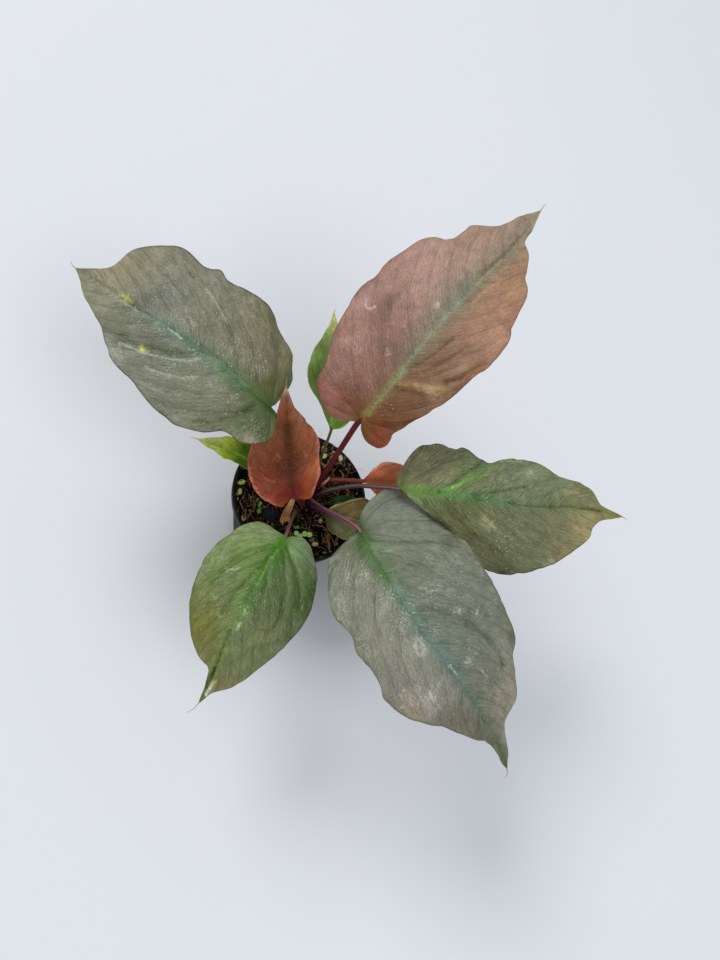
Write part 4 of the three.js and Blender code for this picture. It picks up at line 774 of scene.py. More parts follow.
class Section:
    """An oval tube section whose half width and half thickness change along the tube."""

    def __init__(self, rings, reach, ridges=0, ridge=0.0):
        self.rings, self.reach, self.ridges, self.ridge = rings, reach, ridges, ridge

    def __call__(self, t, angle):
        wide, deep = self.reach(t)
        ribbed = 1 + self.ridge * np.cos(self.ridges * angle) if self.ridges else 1
        return wide * ribbed, deep * ribbed


def tapered(rings, foot, thinning, deep_thinning=None):
    """A section that thins along the tube, by default as much across as upwards."""
    deep_thinning = thinning if deep_thinning is None else deep_thinning
    return Section(rings, lambda t: (foot - thinning * t, foot - deep_thinning * t))


def tube(line, section, sides, start_across=None):
    """Points and faces of a closed tube along points or along a smooth line."""
    path = line if isinstance(line, tuple) else smooth_line(line)
    rings = section.rings
    t = np.linspace(0, 1, rings)
    length = path[1][-1]
    middle = along(path, t * length)
    run = unit(along(path, t * length + 0.5) - along(path, t * length - 0.5))
    across = np.zeros_like(middle)
    side = np.cross(run[-1], UP) if start_across is None else np.asarray(start_across, float)
    if np.linalg.norm(side) < 1e-3:
        side = np.array([1.0, 0, 0])
    for r in range(rings - 1, -1, -1):
        side = unit(side - run[r] * np.dot(side, run[r]))
        across[r] = side
    rise = np.cross(across, run)
    angle = around(sides)
    wide, deep = section(t[:, None], angle[None, :])
    points = (middle[:, None] + across[:, None] * (wide * np.cos(angle))[..., None]
              + rise[:, None] * (deep * np.sin(angle))[..., None])
    return points.reshape(-1, 3), tube_faces(rings, sides)


# Blades

# Construction, as in the solids
KEEL_DEPTH = 1.5
KEEL_REACH = 1.3
TIP_HALF_WIDTH = 0.22
ROW_SWEEP = 0.11
ROW_BOW = 0.45
FRAME_REACH = 0.16
LOBE_TOP = 0.16
LOBE_SPAN = 0.26
LOBE_WIDTH = 0.2
LEAST_FOOT_STEP = 6.0
# Detail. Columns lie closer together by the midrib, and the underside has every third of them.
LARGE_GRID = (340, 52)
SMALL_GRID = (170, 31)
SHARE_POWER = 1.15
UNDER_STEP = 3
BLADE_THICKNESS = 0.55
MARGIN_RAGGED = 0.3
CURL_START = 0.72
RIB_HALF_WIDTH = 0.8
RIB_SHOULDER = 2.4
VEIN_TAPER = 1.4
LAST_TAPER = 0.85
FAN_REACH = 0.18
FAN_POINTS = 900
HALVINGS = 28
LARGE_SPACING = 2.5
SMALL_SPACING = 1.6
TIP_TONE = (164, 150, 84)


def leaf_seed(letter):
    return 100 * (ord(letter) - ord("a") + 1)


def bell(value):
    """1 at 0, and less to both sides."""
    return np.exp(-value ** 2)


def near_vein(main, half_width):
    """1 on the side veins, which lie on the whole numbers of main, and less beside them."""
    return bell(((main + 0.5) % 1 - 0.5) / half_width)


def between(ends, share):
    return ends[0] + (ends[1] - ends[0]) * share


def blend(colour, tone, share):
    """Colours with a share of a tone in them."""
    return colour + (tone - colour) * share[..., None]


def blade_frame(leaf, rib, y):
    """Directions to the right and through the thickness at distances along the midrib."""
    length = rib[1][-1]
    held = np.clip(y, 0, length)
    reach = FRAME_REACH * length
    run = unit(along(rib, held + reach) - along(rib, held - reach))
    across = unit(np.cross(run, UP))
    rise = unit(np.cross(across, run))
    turn = np.radians(between(leaf["roll"], held / length))[..., None]
    right = np.cos(turn) * across + np.sin(turn) * rise
    return right, np.cos(turn) * rise - np.sin(turn) * across


def blade_height(leaf, side, x, y, length):
    """Lift by the fold, the droop and the lobe, as on the solid."""
    near = np.clip((LOBE_TOP * length - y) / (LOBE_SPAN * length), 0, 1) ** 2
    lobe = leaf["lobe"][side] * near * np.minimum(1.5, x / (LOBE_WIDTH * length))
    return math.tan(math.radians(leaf["fold"][side])) * x - leaf["bow"][side] * x * x / 1000 + lobe


def vein_starts(x, y, length, widest, sweep):
    """Where on the midrib the side vein through a flat place starts, below 0 where it fans out from
    the base. Veins leave the midrib at a lean and bend towards the tip."""
    lean, bend = sweep
    x = np.abs(x)
    low, high = y - lean * x - 4 * length, y - lean * x
    for _ in range(HALVINGS):
        start = (low + high) / 2
        reach = widest * (1 - np.clip(start / length, 0, LAST_TAPER)) ** VEIN_TAPER
        below = start + lean * x + bend * x ** 3 / reach ** 2 < y
        low, high = np.where(below, start, low), np.where(below, high, start)
    edge = np.linspace(0.01, 3 * length, FAN_POINTS)
    edge_y = lean * edge + bend * edge ** 3 / widest ** 2
    away, turn = np.hypot(x, y), np.arctan2(y, x)
    edge_turn = np.interp(away, np.hypot(edge, edge_y), np.arctan2(edge_y, edge))
    bent = (edge_turn - math.atan(lean)) * np.clip(np.cos(turn) / np.cos(edge_turn), 0, 1) ** 2
    fan = -FAN_REACH * length * (math.atan(lean) - turn + bent)
    return np.where(start > 0, start, np.minimum(fan, 0))


def blade_half(leaf, side, foot, end, t, u, length, seed):
    """Flat places of one half of a blade and the lift of its folds, waves and curls."""
    t, u = t[:, None], u[None, :]
    ragged = MARGIN_RAGGED * noise(t * length * 0.35, 0 * t, seed + 5) * smooth(12 * t) * smooth(12 * (1 - t))
    x = (end[:, 0:1] + ragged) * u
    y = foot[:, None] + (end[:, 1:2] - foot[:, None]) * ((1 - ROW_BOW) * u + ROW_BOW * u * u)
    height, count, phase = leaf["wave"][side]
    lift = height * u ** 3 * np.sin(2 * np.pi * (count * t + phase)) * smooth(8 * (1 - t))
    for curl_side, middle, reach, rise, pull in leaf["curls"]:
        if curl_side == side:
            edge = np.clip((u - CURL_START) / (1 - CURL_START), 0, 1) ** 2
            strength = smooth(1 - np.abs(t - middle) / reach) * edge
            lift = lift + rise * strength
            x = x - pull * strength
    return [-x if side == 0 else x, y, lift + blade_height(leaf, side, x, y, length),
            np.broadcast_to(u, x.shape), np.broadcast_to(t, x.shape)]


def blade_rows(ends, rows, length):
    """Where the rows of a blade start on the midrib. They sweep back from their ends on the margins."""
    t = np.linspace(0, 1, rows)
    swept = np.minimum(ends[0][:, 1], ends[1][:, 1]) - ROW_SWEEP * length * (1 - t)
    foot = np.zeros(rows)
    for r in range(1, rows):
        foot[r] = max(swept[r], foot[r - 1] + LEAST_FOOT_STEP / rows)
    foot[-1] = length
    return foot


def blade_arrays(letter, rib):
    """The upper face of a blade: flat places, lift, shares and side vein numbers."""
    leaf, seed, length = LEAVES[letter], leaf_seed(letter), rib[1][-1]
    rows, columns = LARGE_GRID if letter in LARGE else SMALL_GRID
    t = np.linspace(0, 1, rows)
    margins = [smooth_line(leaf[side] + [[TIP_HALF_WIDTH, length]]) for side in ("left", "right")]
    ends = [along(m, t * m[1][-1]) for m in margins]
    foot = blade_rows(ends, rows, length)
    u = (np.arange(columns) / (columns - 1)) ** SHARE_POWER
    halves = [blade_half(leaf, side, foot, ends[side], t, u, length, seed + side) for side in (0, 1)]
    x, y, lift, u, t = [np.concatenate([halves[0][k][:, :0:-1], halves[1][k]], 1) for k in range(5)]
    start = np.where(x < 0, *(vein_starts(x, y, length, e[:, 0].max(), leaf["sweep"]) for e in ends))
    start = start + 1.1 * noise(x / 16, y / 16, seed + 12)
    main = start * leaf["veins"] / length + 0.5 * smooth(x / 2)
    fine = start / (LARGE_SPACING if letter in LARGE else SMALL_SPACING)
    # Skin that swells between the side veins, but not at the midrib, the margin, the tip and the foot
    cheeks = np.abs(np.sin(np.pi * main)) ** 0.7 - 0.6
    open_skin = smooth(u / 0.15) * smooth((1 - u) / 0.2) * smooth(6 * (1 - t)) * smooth(np.hypot(x, y) / 12)
    lift = lift + leaf["quilt"] * cheeks * open_skin
    for depth, wide, points in leaf["creases"]:
        lift = lift - depth * bell(from_polyline(x, y, points) / wide) * smooth((1 - u) / 0.1)
    # The midrib's groove and its two shoulders
    small = length / 150
    lift = lift - 0.3 * small * bell(x / RIB_HALF_WIDTH) * (1 - 0.6 * t)
    lift = lift + 0.22 * small * bell((np.abs(x) - RIB_SHOULDER) / 1.5) * (1 - 0.6 * t)
    rough = layers(x, y, seed, [(0.34, 9, 0), (0.16, 3.5, 1), (0.05, 1.3, 2)])
    return x, y, lift + rough * smooth(u * 8), u, t, main, fine


def blade_colours(leaf, length, x, y, u, main, seed):
    """Painted colours of the upper face, with painted shade in its creases and painted highlights on its ridges
    among them.
    """
    share = np.clip(y / length, 0, 1)
    left, right, middle = (gradient(leaf[name], share, leaf) for name in ("side_left", "side_right", "middle"))
    colour = np.where(x[..., None] < 0, left, right)
    wide = between(leaf["middle_width"], share)
    colour = blend(colour, middle, np.exp(-(np.abs(x) / wide) ** 1.6))
    drift_x, drift_y = (2.2 * noise(x / 7, y / 7, seed + more) for more in (13, 14))
    # Soft patches of colour, among them painted shadows and painted light
    for tone, (cx, cy), (rx, ry), strength in leaf["washes_and_painted_light"]:
        away = ((x + drift_x - cx) / rx) ** 2 + ((y + drift_y - cy) / ry) ** 2
        colour = blend(colour, skin(leaf, tone), strength * np.exp(-0.8 * away))
    cloud = layers(x, y, seed, [(0.08, 14, 7), (0.07, 4, 8), (0.06, 1.4, 15)], 1)
    groove = near_vein(main, 0.09) * smooth(np.hypot(x, y) / 14)
    colour = colour * (cloud - 0.12 * groove)[..., None]
    # Marks: scratches, scars and coloured veins, and also painted shade in creases and painted highlights
    for tone, wide, strength, points in leaf["marks"]:
        if isinstance(points, int):
            points = leaf["creases"][points][2]
        away = from_polyline(x + 0.3 * noise(x / 2, y / 2, seed + 16), y, points)
        ragged = wide * (1 + 0.4 * noise(x / 1.5, y / 1.5, seed + 9))
        worn = strength * np.clip(0.8 + 0.45 * noise(x / 0.9, y / 0.9, seed + 17), 0, 1.1)
        colour = blend(colour, skin(leaf, tone), worn * bell(away / ragged))
    return np.maximum(blend(colour, skin(leaf, leaf["edge"]), smooth((u - 0.97) / 0.025) * 0.6), 0.001)


def underside_colours(letter, x, y, t, seed):
    """The underside's colour, with the stalk's colour running on along the midrib."""
    below = np.broadcast_to(linear(LEAVES[letter]["under"]), (*x.shape, 3))
    below = below * (1 + 0.08 * noise(x / 12, y / 12, seed + 11))[..., None]
    return blend(below, gradient(STALKS[letter], 1.0), bell(x / 1.8) * (1 - 0.7 * t))


def dustiness(leaf, x, y, seed):
    """Number of specks to a square millimetre."""
    dusty = 0 * x
    for cx, cy, reach, count in leaf["flecks"]:
        away = np.hypot(x - cx, y - cy) / reach
        dusty = dusty + count / (math.pi * reach ** 2) * bell(away)
    return dusty * (1 + 0.8 * noise(x / 2.5, y / 2.5, seed + 18))


def blade(letter):
    """A blade as a closed sheet on its midrib, with its dry tip."""
    leaf, seed = LEAVES[letter], leaf_seed(letter)
    rib = smooth_line(leaf["rib"])
    length = rib[1][-1]
    x, y, lift, u, t, main, fine = blade_arrays(letter, rib)
    right, normal = blade_frame(leaf, rib, y)
    place = along(rib, y) + right * x[..., None]
    top = place + normal * lift[..., None]
    keel = KEEL_DEPTH * bell(x / KEEL_REACH) * (1 - 0.85 * t)
    thick = BLADE_THICKNESS * (1 - 0.5 * u ** 4) + 0.14 * near_vein(main, 0.05)
    lowest = np.minimum(lift, np.minimum(np.roll(lift, 1, 1), np.roll(lift, -1, 1)))
    lowest[:, 0], lowest[:, -1] = lift[:, 0], lift[:, -1]
    bottom = place + normal * (lowest - thick - keel)[..., None]

    def both(above, under):
        return np.concatenate([above.reshape(-1, 3), under[:, ::UNDER_STEP].reshape(-1, 3)])

    colours = both(blade_colours(leaf, length, x, y, u, main, seed), underside_colours(letter, x, y, t, seed))
    flat = np.stack([x, y, dustiness(leaf, x, y, seed)], -1)
    veins = np.stack([main, fine, 0 * u], -1)
    heap = Heap()
    heap.add(both(top, bottom), sheet_faces(*x.shape, UNDER_STEP), tint=colours,
             flat=both(flat, flat), veins=both(veins, veins + [0, 0, 1]))
    tip = Section(10, lambda s: (0.32 - 0.22 * s, 0.26 - 0.18 * s))
    heap.add(*tube(leaf["tip"], tip, 8), tint=skin(leaf, TIP_TONE), flat=(0, length, 0), veins=(0.5, 0.5, 1))
    heap.piece(f"blade_{letter}", leaf_material(letter), f"blade_{letter}", [f"leaf_{letter}_blade"])


STALK_RINGS = 90
STALK_SIDES = 42
# Where a stalk runs on under the midrib: distances along it, and how far below it
LARGE_ENTRY = ((2.5, 9.0), (1.95, 1.4))
SMALL_ENTRY = ((1.5, 5.0), (1.3, 0.95))


def stalk(letter):
    """A ribbed stalk with a sheathing foot, whose upper end runs on under the blade's midrib."""
    leaf = LEAVES[letter]
    rib = smooth_line(leaf["rib"])
    entry, sunk = np.array(LARGE_ENTRY if letter in LARGE else SMALL_ENTRY)
    _, normal = blade_frame(leaf, rib, entry)
    inside = along(rib, entry) - normal * sunk[:, None]
    line = smooth_line(leaf["stalk"] + inside.tolist())
    top_at = line[1][CURVE_STEPS * (len(leaf["stalk"]) - 1)] / line[1][-1]
    foot, top = leaf["girth"]

    def reach(t):
        share = (1 - smooth(t / top_at / 0.62)) ** 1.2
        end = 1 - 0.55 * smooth((t - top_at) / (1 - top_at))
        return [between((top[k], foot[k]), share) * end for k in (0, 1)]

    ridges, ridge, ridge_shading = STALK_RIDGES.get(letter, PLAIN_RIDGES)
    t = np.repeat(np.linspace(0, 1, STALK_RINGS), STALK_SIDES)
    angle = np.tile(around(STALK_SIDES), STALK_RINGS)
    colour = np.maximum(gradient(STALKS[letter], t) - STALK_SHEEN, 0.002)
    # Painted highlight: the upper side of the stalk is blended towards a light colour
    lit = (0.5 + 0.5 * np.sin(angle)) ** 4 * (0.75 + 0.25 * noise(t * 30, angle * 2, 40))
    colour = blend(colour, linear(STALK_PAINTED_HIGHLIGHT.get(letter, PLAIN_STALK_PAINTED_HIGHLIGHT)), 0.45 * lit)
    # Painted shade between the ridges and painted light on their crests
    colour = colour * (1 + ridge_shading * np.cos(ridges * angle))[:, None]
    heap = Heap()
    heap.add(*tube(line, Section(STALK_RINGS, reach, ridges, ridge), STALK_SIDES), tint=colour,
             flat=np.stack([angle, t * line[1][-1], 0 * t], -1))
    heap.piece(f"stalk_{letter}", stalk_material(letter), f"stalk_{letter}", [f"leaf_{letter}_stalk"])


# Materials

class Shader:
    """Short names for the nodes of one material."""

    def __init__(self, name):
        self.material = bpy.data.materials.new(name)
        self.material.use_nodes = True
        self.tree = self.material.node_tree
        self.bsdf = self.tree.nodes["Principled BSDF"]

    def node(self, kind, *values, **settings):
        made = self.tree.nodes.new(kind)
        for key, value in settings.items():
            setattr(made, key, value)
        for socket, value in zip(made.inputs, values):
            self.put(socket, value)
        return made

    def put(self, socket, value):
        if isinstance(value, bpy.types.NodeSocket):
            self.tree.links.new(value, socket)
        else:
            socket.default_value = value

    def math(self, operation, *values):
        return self.node("ShaderNodeMath", *values, operation=operation).outputs[0]

    def times(self, a, b):
        return self.math("MULTIPLY", a, b)

    def times_plus(self, a, b, c):
        return self.math("MULTIPLY_ADD", a, b, c)

    def minus(self, a, b):
        return self.math("SUBTRACT", a, b)

    def spread(self, value, low, high, out_low=0.0, out_high=1.0):
        """A smooth step of value from low to high."""
        return self.node("ShaderNodeMapRange", value, low, high, out_low, out_high,
                         interpolation_type="SMOOTHSTEP").outputs[0]

    def mix(self, factor, a, b, blend_type="MIX"):
        made = self.node("ShaderNodeMix", factor, data_type="RGBA", blend_type=blend_type)
        self.put(made.inputs[6], a)
        self.put(made.inputs[7], b)
        return made.outputs[2]

    def shaded(self, colour, shade):
        """A colour made lighter or darker by a number."""
        return self.mix(1.0, colour, self.join(shade, shade, shade), "MULTIPLY")

    def tint(self):
        return self.attribute("tint", "Color")

    def attribute(self, name, output="Vector"):
        return self.node("ShaderNodeAttribute", attribute_name=name).outputs[output]

    def place(self):
        return self.node("ShaderNodeTexCoord").outputs["Object"]

    def split(self, vector):
        return self.node("ShaderNodeSeparateXYZ", vector).outputs

    def join(self, x, y, z=0.0):
        return self.node("ShaderNodeCombineXYZ", x, y, z).outputs[0]

    def noise(self, vector, scale, detail=2.0, roughness=0.5):
        made = self.node("ShaderNodeTexNoise")
        for key, value in (("Vector", vector), ("Scale", scale), ("Detail", detail), ("Roughness", roughness)):
            self.put(made.inputs[key], value)
        return made.outputs[0]

    def cells(self, vector, scale):
        """Distance to the nearest of scattered points, and two random numbers for each."""
        made = self.node("ShaderNodeTexVoronoi", voronoi_dimensions="2D")
        self.put(made.inputs["Vector"], vector)
        self.put(made.inputs["Scale"], scale)
        one, two, _ = self.split(made.outputs[1])
        return made.outputs[0], one, two

    def bump(self, height, distance):
        made = self.node("ShaderNodeBump")
        for key, value in (("Strength", 1.0), ("Distance", distance), ("Height", height)):
            self.put(made.inputs[key], value)
        self.put(self.bsdf.inputs["Normal"], made.outputs[0])

    def finish(self, colour, roughness, specular):
        for key, value in (("Base Color", colour), ("Roughness", roughness), ("Specular IOR Level", specular)):
            self.put(self.bsdf.inputs[key], value)
        return self.material


# How far the leaves' mottling goes
LARGE_GRAIN = 0.16
SMALL_GRAIN = 0.12
# Specks of dust: whether drawn out along the veins, scale of their cells, how much of a cell the
# largest one fills, and how many there are
SPECKS = [(False, 1.0, 0.24, 0.8), (False, 1.9, 0.34, 0.8), (True, 1.0, 0.2, 1.6)]


def leaf_material(letter):
    """Leaf tissue: side veins, fine parallel veins, mottling, dust specks and scratches."""
    leaf = LEAVES[letter]
    s = Shader(f"leaf_{letter}")
    across, along_rib, dusty = s.split(s.attribute("flat"))
    main, fine, under = s.split(s.attribute("veins"))
    upper = s.minus(1.0, under)
    flat = s.join(across, along_rib)
    wander = s.noise(flat, 0.3)
    shifted = s.times_plus(s.minus(wander, 0.5), 0.9, fine)
    broken = s.spread(s.noise(flat, 0.22, 3.0, 0.6), 0.35, 0.62, 0.15, 1.0)

    def stripes(scale, power):
        wave = s.math("COSINE", s.times(shifted, scale * 2 * math.pi))
        return s.math("POWER", s.times_plus(wave, 0.5, 0.5), power)

    fine_line = s.times(s.times_plus(stripes(2, 2.0), 0.4, stripes(1, 3.0)), broken)
    fold = s.math("ABSOLUTE", s.minus(s.math("FRACT", s.math("ADD", main, 0.5)), 0.5))
    vein_line = s.spread(fold, 0.045, 0.0)
    grain = s.noise(flat, 0.85, 5.0, 0.65)
    blotch = s.noise(flat, 0.14, 4.0, 0.6)
    mottled = LARGE_GRAIN if letter in LARGE else SMALL_GRAIN
    shade = s.times(s.spread(grain, 0.28, 0.72, 1 - mottled, 1 + mottled),
                    s.spread(blotch, 0.25, 0.75, 0.88, 1.1))
    shade = s.times(shade, s.minus(1.0, s.times(fine_line, leaf["stripe"])))
    run = s.times_plus(s.math("ABSOLUTE", across), 0.7, s.times(along_rib, 0.7))

    def drawn_out(closeness, length):
        """Places for patterns that follow the fine veins."""
        return s.join(s.times(shifted, closeness), s.times(run, length))

    silk = s.noise(drawn_out(3.2, 0.16), 1.0, 3.0, 0.6)
    shade = s.times(shade, s.spread(silk, 0.3, 0.7, 1 - leaf["silk"], 1 + leaf["silk"]))
    colour = s.shaded(s.tint(), shade)
    vein_share = s.times(s.times(vein_line, upper), leaf["vein_strength"])
    colour = s.mix(vein_share, colour, skin_rgba(leaf, leaf["vein"]))

    dust_tone = skin_rgba(leaf, leaf["dust_tone"])
    streak = s.noise(drawn_out(4.5, 0.22), 1.0)
    patch = s.spread(dusty, 0.03, 0.35, 0.25, 1.0)
    scratch = s.times(s.spread(streak, 0.6, 0.72), patch)
    colour = s.mix(s.times(s.times(scratch, upper), 0.5 * leaf["dust"]), colour, dust_tone)
    speck_run = drawn_out(2.2, 0.42)
    for stretched, scale, reach, more in SPECKS:
        near, chance, size = s.cells(speck_run if stretched else flat, scale)
        lit = s.math("LESS_THAN", chance, s.times(dusty, more))
        speck = s.times(lit, s.math("LESS_THAN", near, s.times_plus(size, reach, 0.06)))
        colour = s.mix(s.times(s.times(speck, upper), 0.7 * leaf["dust"]), colour, dust_tone)
    rough = s.spread(blotch, 0.3, 0.7, leaf["gloss"] - 0.05, leaf["gloss"] + 0.08)
    ribbed = s.times_plus(silk, 0.5, s.times(fine_line, -0.3))
    s.bump(s.times_plus(grain, 0.4, ribbed), 0.00028)
    return s.finish(colour, rough, 0.3)


def stalk_material(letter):
    """Stalk skin: fine lengthwise ridges and pale flecks."""
    s = Shader(f"stalk_{letter}")
    angle, run, _ = s.split(s.attribute("flat"))
    streak = s.noise(s.join(s.times(angle, 2.2), s.times(run, 0.12)), 2.0, 3.0)
    flecks = s.noise(s.join(s.times(angle, 1.5), s.times(run, 0.5)), 1.6, 3.0)
    colour = s.shaded(s.tint(), s.spread(streak, 0.3, 0.7, 0.78, 1.2))
    colour = s.mix(s.spread(flecks, 0.62, 0.74, 0.0, 0.25), colour, rgba((160, 128, 118)))
    s.bump(streak, 0.0002)
    return s.finish(colour, s.spread(streak, 0.3, 0.7, 0.42, 0.58), 0.22)


def plain_noise_material(name, dark, light, scale, rough, bump, specular=0.3):
    """A finish that wanders between two colours, in object coordinates."""
    s = Shader(name)
    place = s.place()
    coarse = s.noise(place, scale, 5.0, 0.65)
    grain = s.noise(place, scale * 6, 3.0, 0.6)
    both = s.times_plus(grain, 0.4, s.times(coarse, 0.6))
    s.bump(both, bump)
    return s.finish(s.mix(s.spread(both, 0.35, 0.65), rgba(dark), rgba(light)), rough, specular)


def tint_material(name, rough, bump, scale, specular=0.4):
    """A finish that takes its colour from the mesh and varies it a little."""
    s = Shader(name)
    grain = s.noise(s.place(), scale, 4.0, 0.6)
    s.bump(grain, bump)
    return s.finish(s.shaded(s.tint(), s.spread(grain, 0.3, 0.7, 0.75, 1.2)), rough, specular)


def pot_material():
    """Black moulded plastic with faint turning marks, dust and scuffs."""
    s = Shader("nursery_pot")
    place = s.place()
    x, y, z = s.split(place)
    fine = s.noise(place, 900, 3.0, 0.6)
    cloud = s.noise(place, 60, 4.0, 0.6)
    rings = s.noise(s.join(0.0, 0.0, z), 1800, 1.0)
    colour = s.mix(s.spread(cloud, 0.45, 0.75), rgba((8, 8, 9)), rgba((18, 18, 18)))
    scuff = s.spread(s.noise(s.join(x, y, s.times(z, 5.0)), 140, 3.0), 0.62, 0.75, 0.0, 0.2)
    colour = s.mix(scuff, colour, rgba((70, 67, 62)))
    s.bump(s.times_plus(rings, 0.5, fine), 0.00012)
    return s.finish(colour, s.spread(cloud, 0.3, 0.7, 0.5, 0.7), 0.28)


# Potting mix

# The solid's mound and lumps, and a bank along the wall that is higher to the far right
MOUND_RISE = 1.2
MOUND_REACH = 12
LUMP_SEED = 41
LUMP_COUNT = 46
LUMP_FIELD = 33
BANK_START = 25
BANK_REACH = 8
BANK_RISE = 2.0
BANK_EXTRA = 1.6
# Its mesh
MIX_RINGS = 96
MIX_SIDES = 260
MIX_FOOT = 8
MIX_FLOOR = FLOOR + 0.4
# Chips of bark. Those on the rim fill the strip between the mix and the rim.
CHIP_COUNT = 1500
CHIP_FIELD = 35
RIM_CHIP_COUNT = 420
RIM_STRIP = (34.4, 37.8)
RIM_STRIP_RISE = (3.6, 5.9)
CHIP_TONES = [(54, 42, 28), (78, 58, 38), (116, 90, 58), (32, 25, 20), (19, 16, 14), (14, 13, 13),
              (148, 122, 86), (56, 52, 32), (24, 20, 18), (16, 14, 14), (36, 28, 22), (12, 11, 11)]
FIBRE_COUNT = 420
FIBRE_FIELD = 33
FIBRE_LIMIT = 34.5
FIBRE_TONES = [(176, 140, 96), (146, 108, 68), (198, 172, 132), (112, 78, 48), (160, 122, 78)]
# Larger pieces: x, y, half sizes, turn, colour
LARGE_CHIPS = [
    # The first is a large flat dark grey piece over a dark place on the mix, left of the stem
    (-16, -11.5, (5.2, 3.4, 1.1), -20, (30, 33, 38)),
    (-26, -8, (3.4, 0.9, 0.5), 80, (96, 72, 44)), (-28.6, -14, (2.2, 0.7, 0.5), 60, (104, 80, 50)),
    (26, 15, (3.2, 0.5, 0.4), 100, (150, 118, 76)), (21, 12, (2.4, 0.6, 0.5), 30, (84, 56, 34)),
    (29, 6, (2.2, 0.9, 0.5), 120, (110, 80, 50)), (18, -28, (3.4, 0.8, 0.5), 95, (164, 120, 88)),
    (22, -24, (2.6, 0.7, 0.5), 70, (148, 108, 78)), (8.4, -24.3, (1.6, 1.1, 0.6), 20, (150, 132, 84)),
    (28, -8, (2.6, 0.8, 0.5), 40, (104, 78, 50)), (14, 22, (2.2, 0.8, 0.5), 140, (128, 96, 58)),
]
# Longer fibres: half thickness, colour, points as [x, y, above the mix]
STRANDS = [
    (0.22, (170, 128, 92), [[-17.6, -16.7, 0.5], [-13.8, -12.8, 1.6], [-9.3, -11.2, 1.8],
                            [-6.9, -12.8, 1]]),
    (0.26, (172, 136, 98), [[8, -15.8, 0.8], [12.1, -16, 1.8], [15.7, -17.5, 2], [17.5, -23.2, 1.6],
                            [17.1, -32, 0.6]]),
    (0.4, (164, 120, 92), [[18.7, -22, 0.6], [20.5, -27.1, 1.2], [20.6, -31.6, 0.6]]),
    (0.42, (176, 132, 106), [[16.4, -22.2, 0.8], [17.6, -26.6, 1.4], [17.8, -32.4, 0.6]]),
    (0.24, (150, 112, 74), [[11.2, -28, 0.5], [14.4, -30, 1], [16.6, -31.4, 0.6]]),
    (0.2, (178, 142, 98), [[-34.4, -6.3, 0.6], [-32.7, -10.1, 1.2], [-29.6, -14.4, 0.6]]),
    (0.2, (164, 126, 84), [[-30.3, -10.9, 0.6], [-30.8, -14.2, 1.2], [-29.8, -17.6, 0.6]]),
    (0.22, (176, 142, 104), [[-5, -19.1, 0.6], [-4.4, -21.4, 1.4], [-3.1, -25, 0.5]]),
    (0.26, (180, 146, 98), [[23.3, 19.3, 0.6], [25.6, 16, 1.4], [25.2, 11.9, 0.6]]),
    (0.2, (190, 164, 124), [[14, 30, 0.5], [19, 25.6, 1.6], [21, 19, 0.6]]),
    (0.22, (138, 98, 60), [[-14, -20, 0.5], [-17, -13, 1.2], [-23, -12, 0.6]]),
]


def lcg(seed):
    """The solids' own repeatable numbers between 0 and 1."""
    state = seed
    while True:
        state = (state * 1664525 + 1013904223) & 0xFFFFFFFF
        yield state / 4294967296


def lumps():
    """Places, reaches and heights of the lumps in the mix, as on the solid."""
    stream = lcg(LUMP_SEED)
    made = []
    for _ in range(LUMP_COUNT):
        radius = LUMP_FIELD * math.sqrt(next(stream))
        angle = 2 * math.pi * next(stream)
        size = 2.5 + 3.5 * next(stream)
        made.append((radius * math.cos(angle), radius * math.sin(angle), size,
                     0.6 + 1.9 * next(stream)))
    return made


LUMPS = lumps()


def soil_height(x, y):
    """The solid's mound and lumps with a finer crumb on them, heaped a little along the wall."""
    x, y = np.asarray(x, float), np.asarray(y, float)
    from_stem = np.hypot(x - STEM_CENTRE[0], y - STEM_CENTRE[1])
    from_axis = np.hypot(x, y)
    banked = BANK_RISE + BANK_EXTRA * smooth(0.5 + (0.8 * x + 0.6 * y) / 50)
    height = SOIL_LEVEL + MOUND_RISE * bell(from_stem / MOUND_REACH)
    height = height + banked * smooth((from_axis - BANK_START) / BANK_REACH)
    for lump_x, lump_y, size, rise in LUMPS:
        away = np.hypot(x - lump_x, y - lump_y) / size
        height = height + rise * np.clip(1 - away * away, 0, 1) ** 1.5
    return height + layers(x, y, 3, [(0.8, 3.1, 0), (0.5, 1.4, 1), (0.28, 0.7, 2)])


def on_mix(x, y, lift):
    """A point above the mix."""
    return [x, y, float(soil_height(x, y)) + lift]


def wall_radius(z):
    return BASE_RADIUS + (WALL_TOP_RADIUS - BASE_RADIUS) * (z / (POT_HEIGHT - RIM_BAND_HEIGHT))


def soil():
    """The mix as a closed shell: a crumbly top, the wall below it and a floor."""
    outer = WALL_TOP_RADIUS - WALL - 0.5
    radius = outer * (np.arange(1, MIX_RINGS + 1) / MIX_RINGS) ** 0.8
    top = ring_points(radius, 0 * radius, MIX_SIDES)
    top[..., 2] = soil_height(top[..., 0], top[..., 1])
    low = ring_points([wall_radius(MIX_FOOT) - WALL - 1, BASE_RADIUS - WALL - 2.2], [MIX_FOOT, MIX_FLOOR],
                      MIX_SIDES)
    points = np.concatenate([top.reshape(-1, 3), low.reshape(-1, 3), [on_mix(0, 0, 0), [0, 0, MIX_FLOOR]]])
    at = ring_grid(MIX_RINGS + 2, MIX_SIDES)
    ahead = np.roll(at, -1, axis=1)
    peak, base = len(points) - 2, len(points) - 1
    faces = ring_faces(at, turned=True).tolist()
    faces += [[peak, *pair] for pair in zip(at[0], ahead[0])]
    faces += [[base, *pair] for pair in zip(ahead[-1], at[-1])]
    material = plain_noise_material("potting_mix", (4, 4, 5), (36, 28, 21), 520, 0.95, 0.0007, 0.1)
    make_piece("mix", points, faces, material, ["soil"])


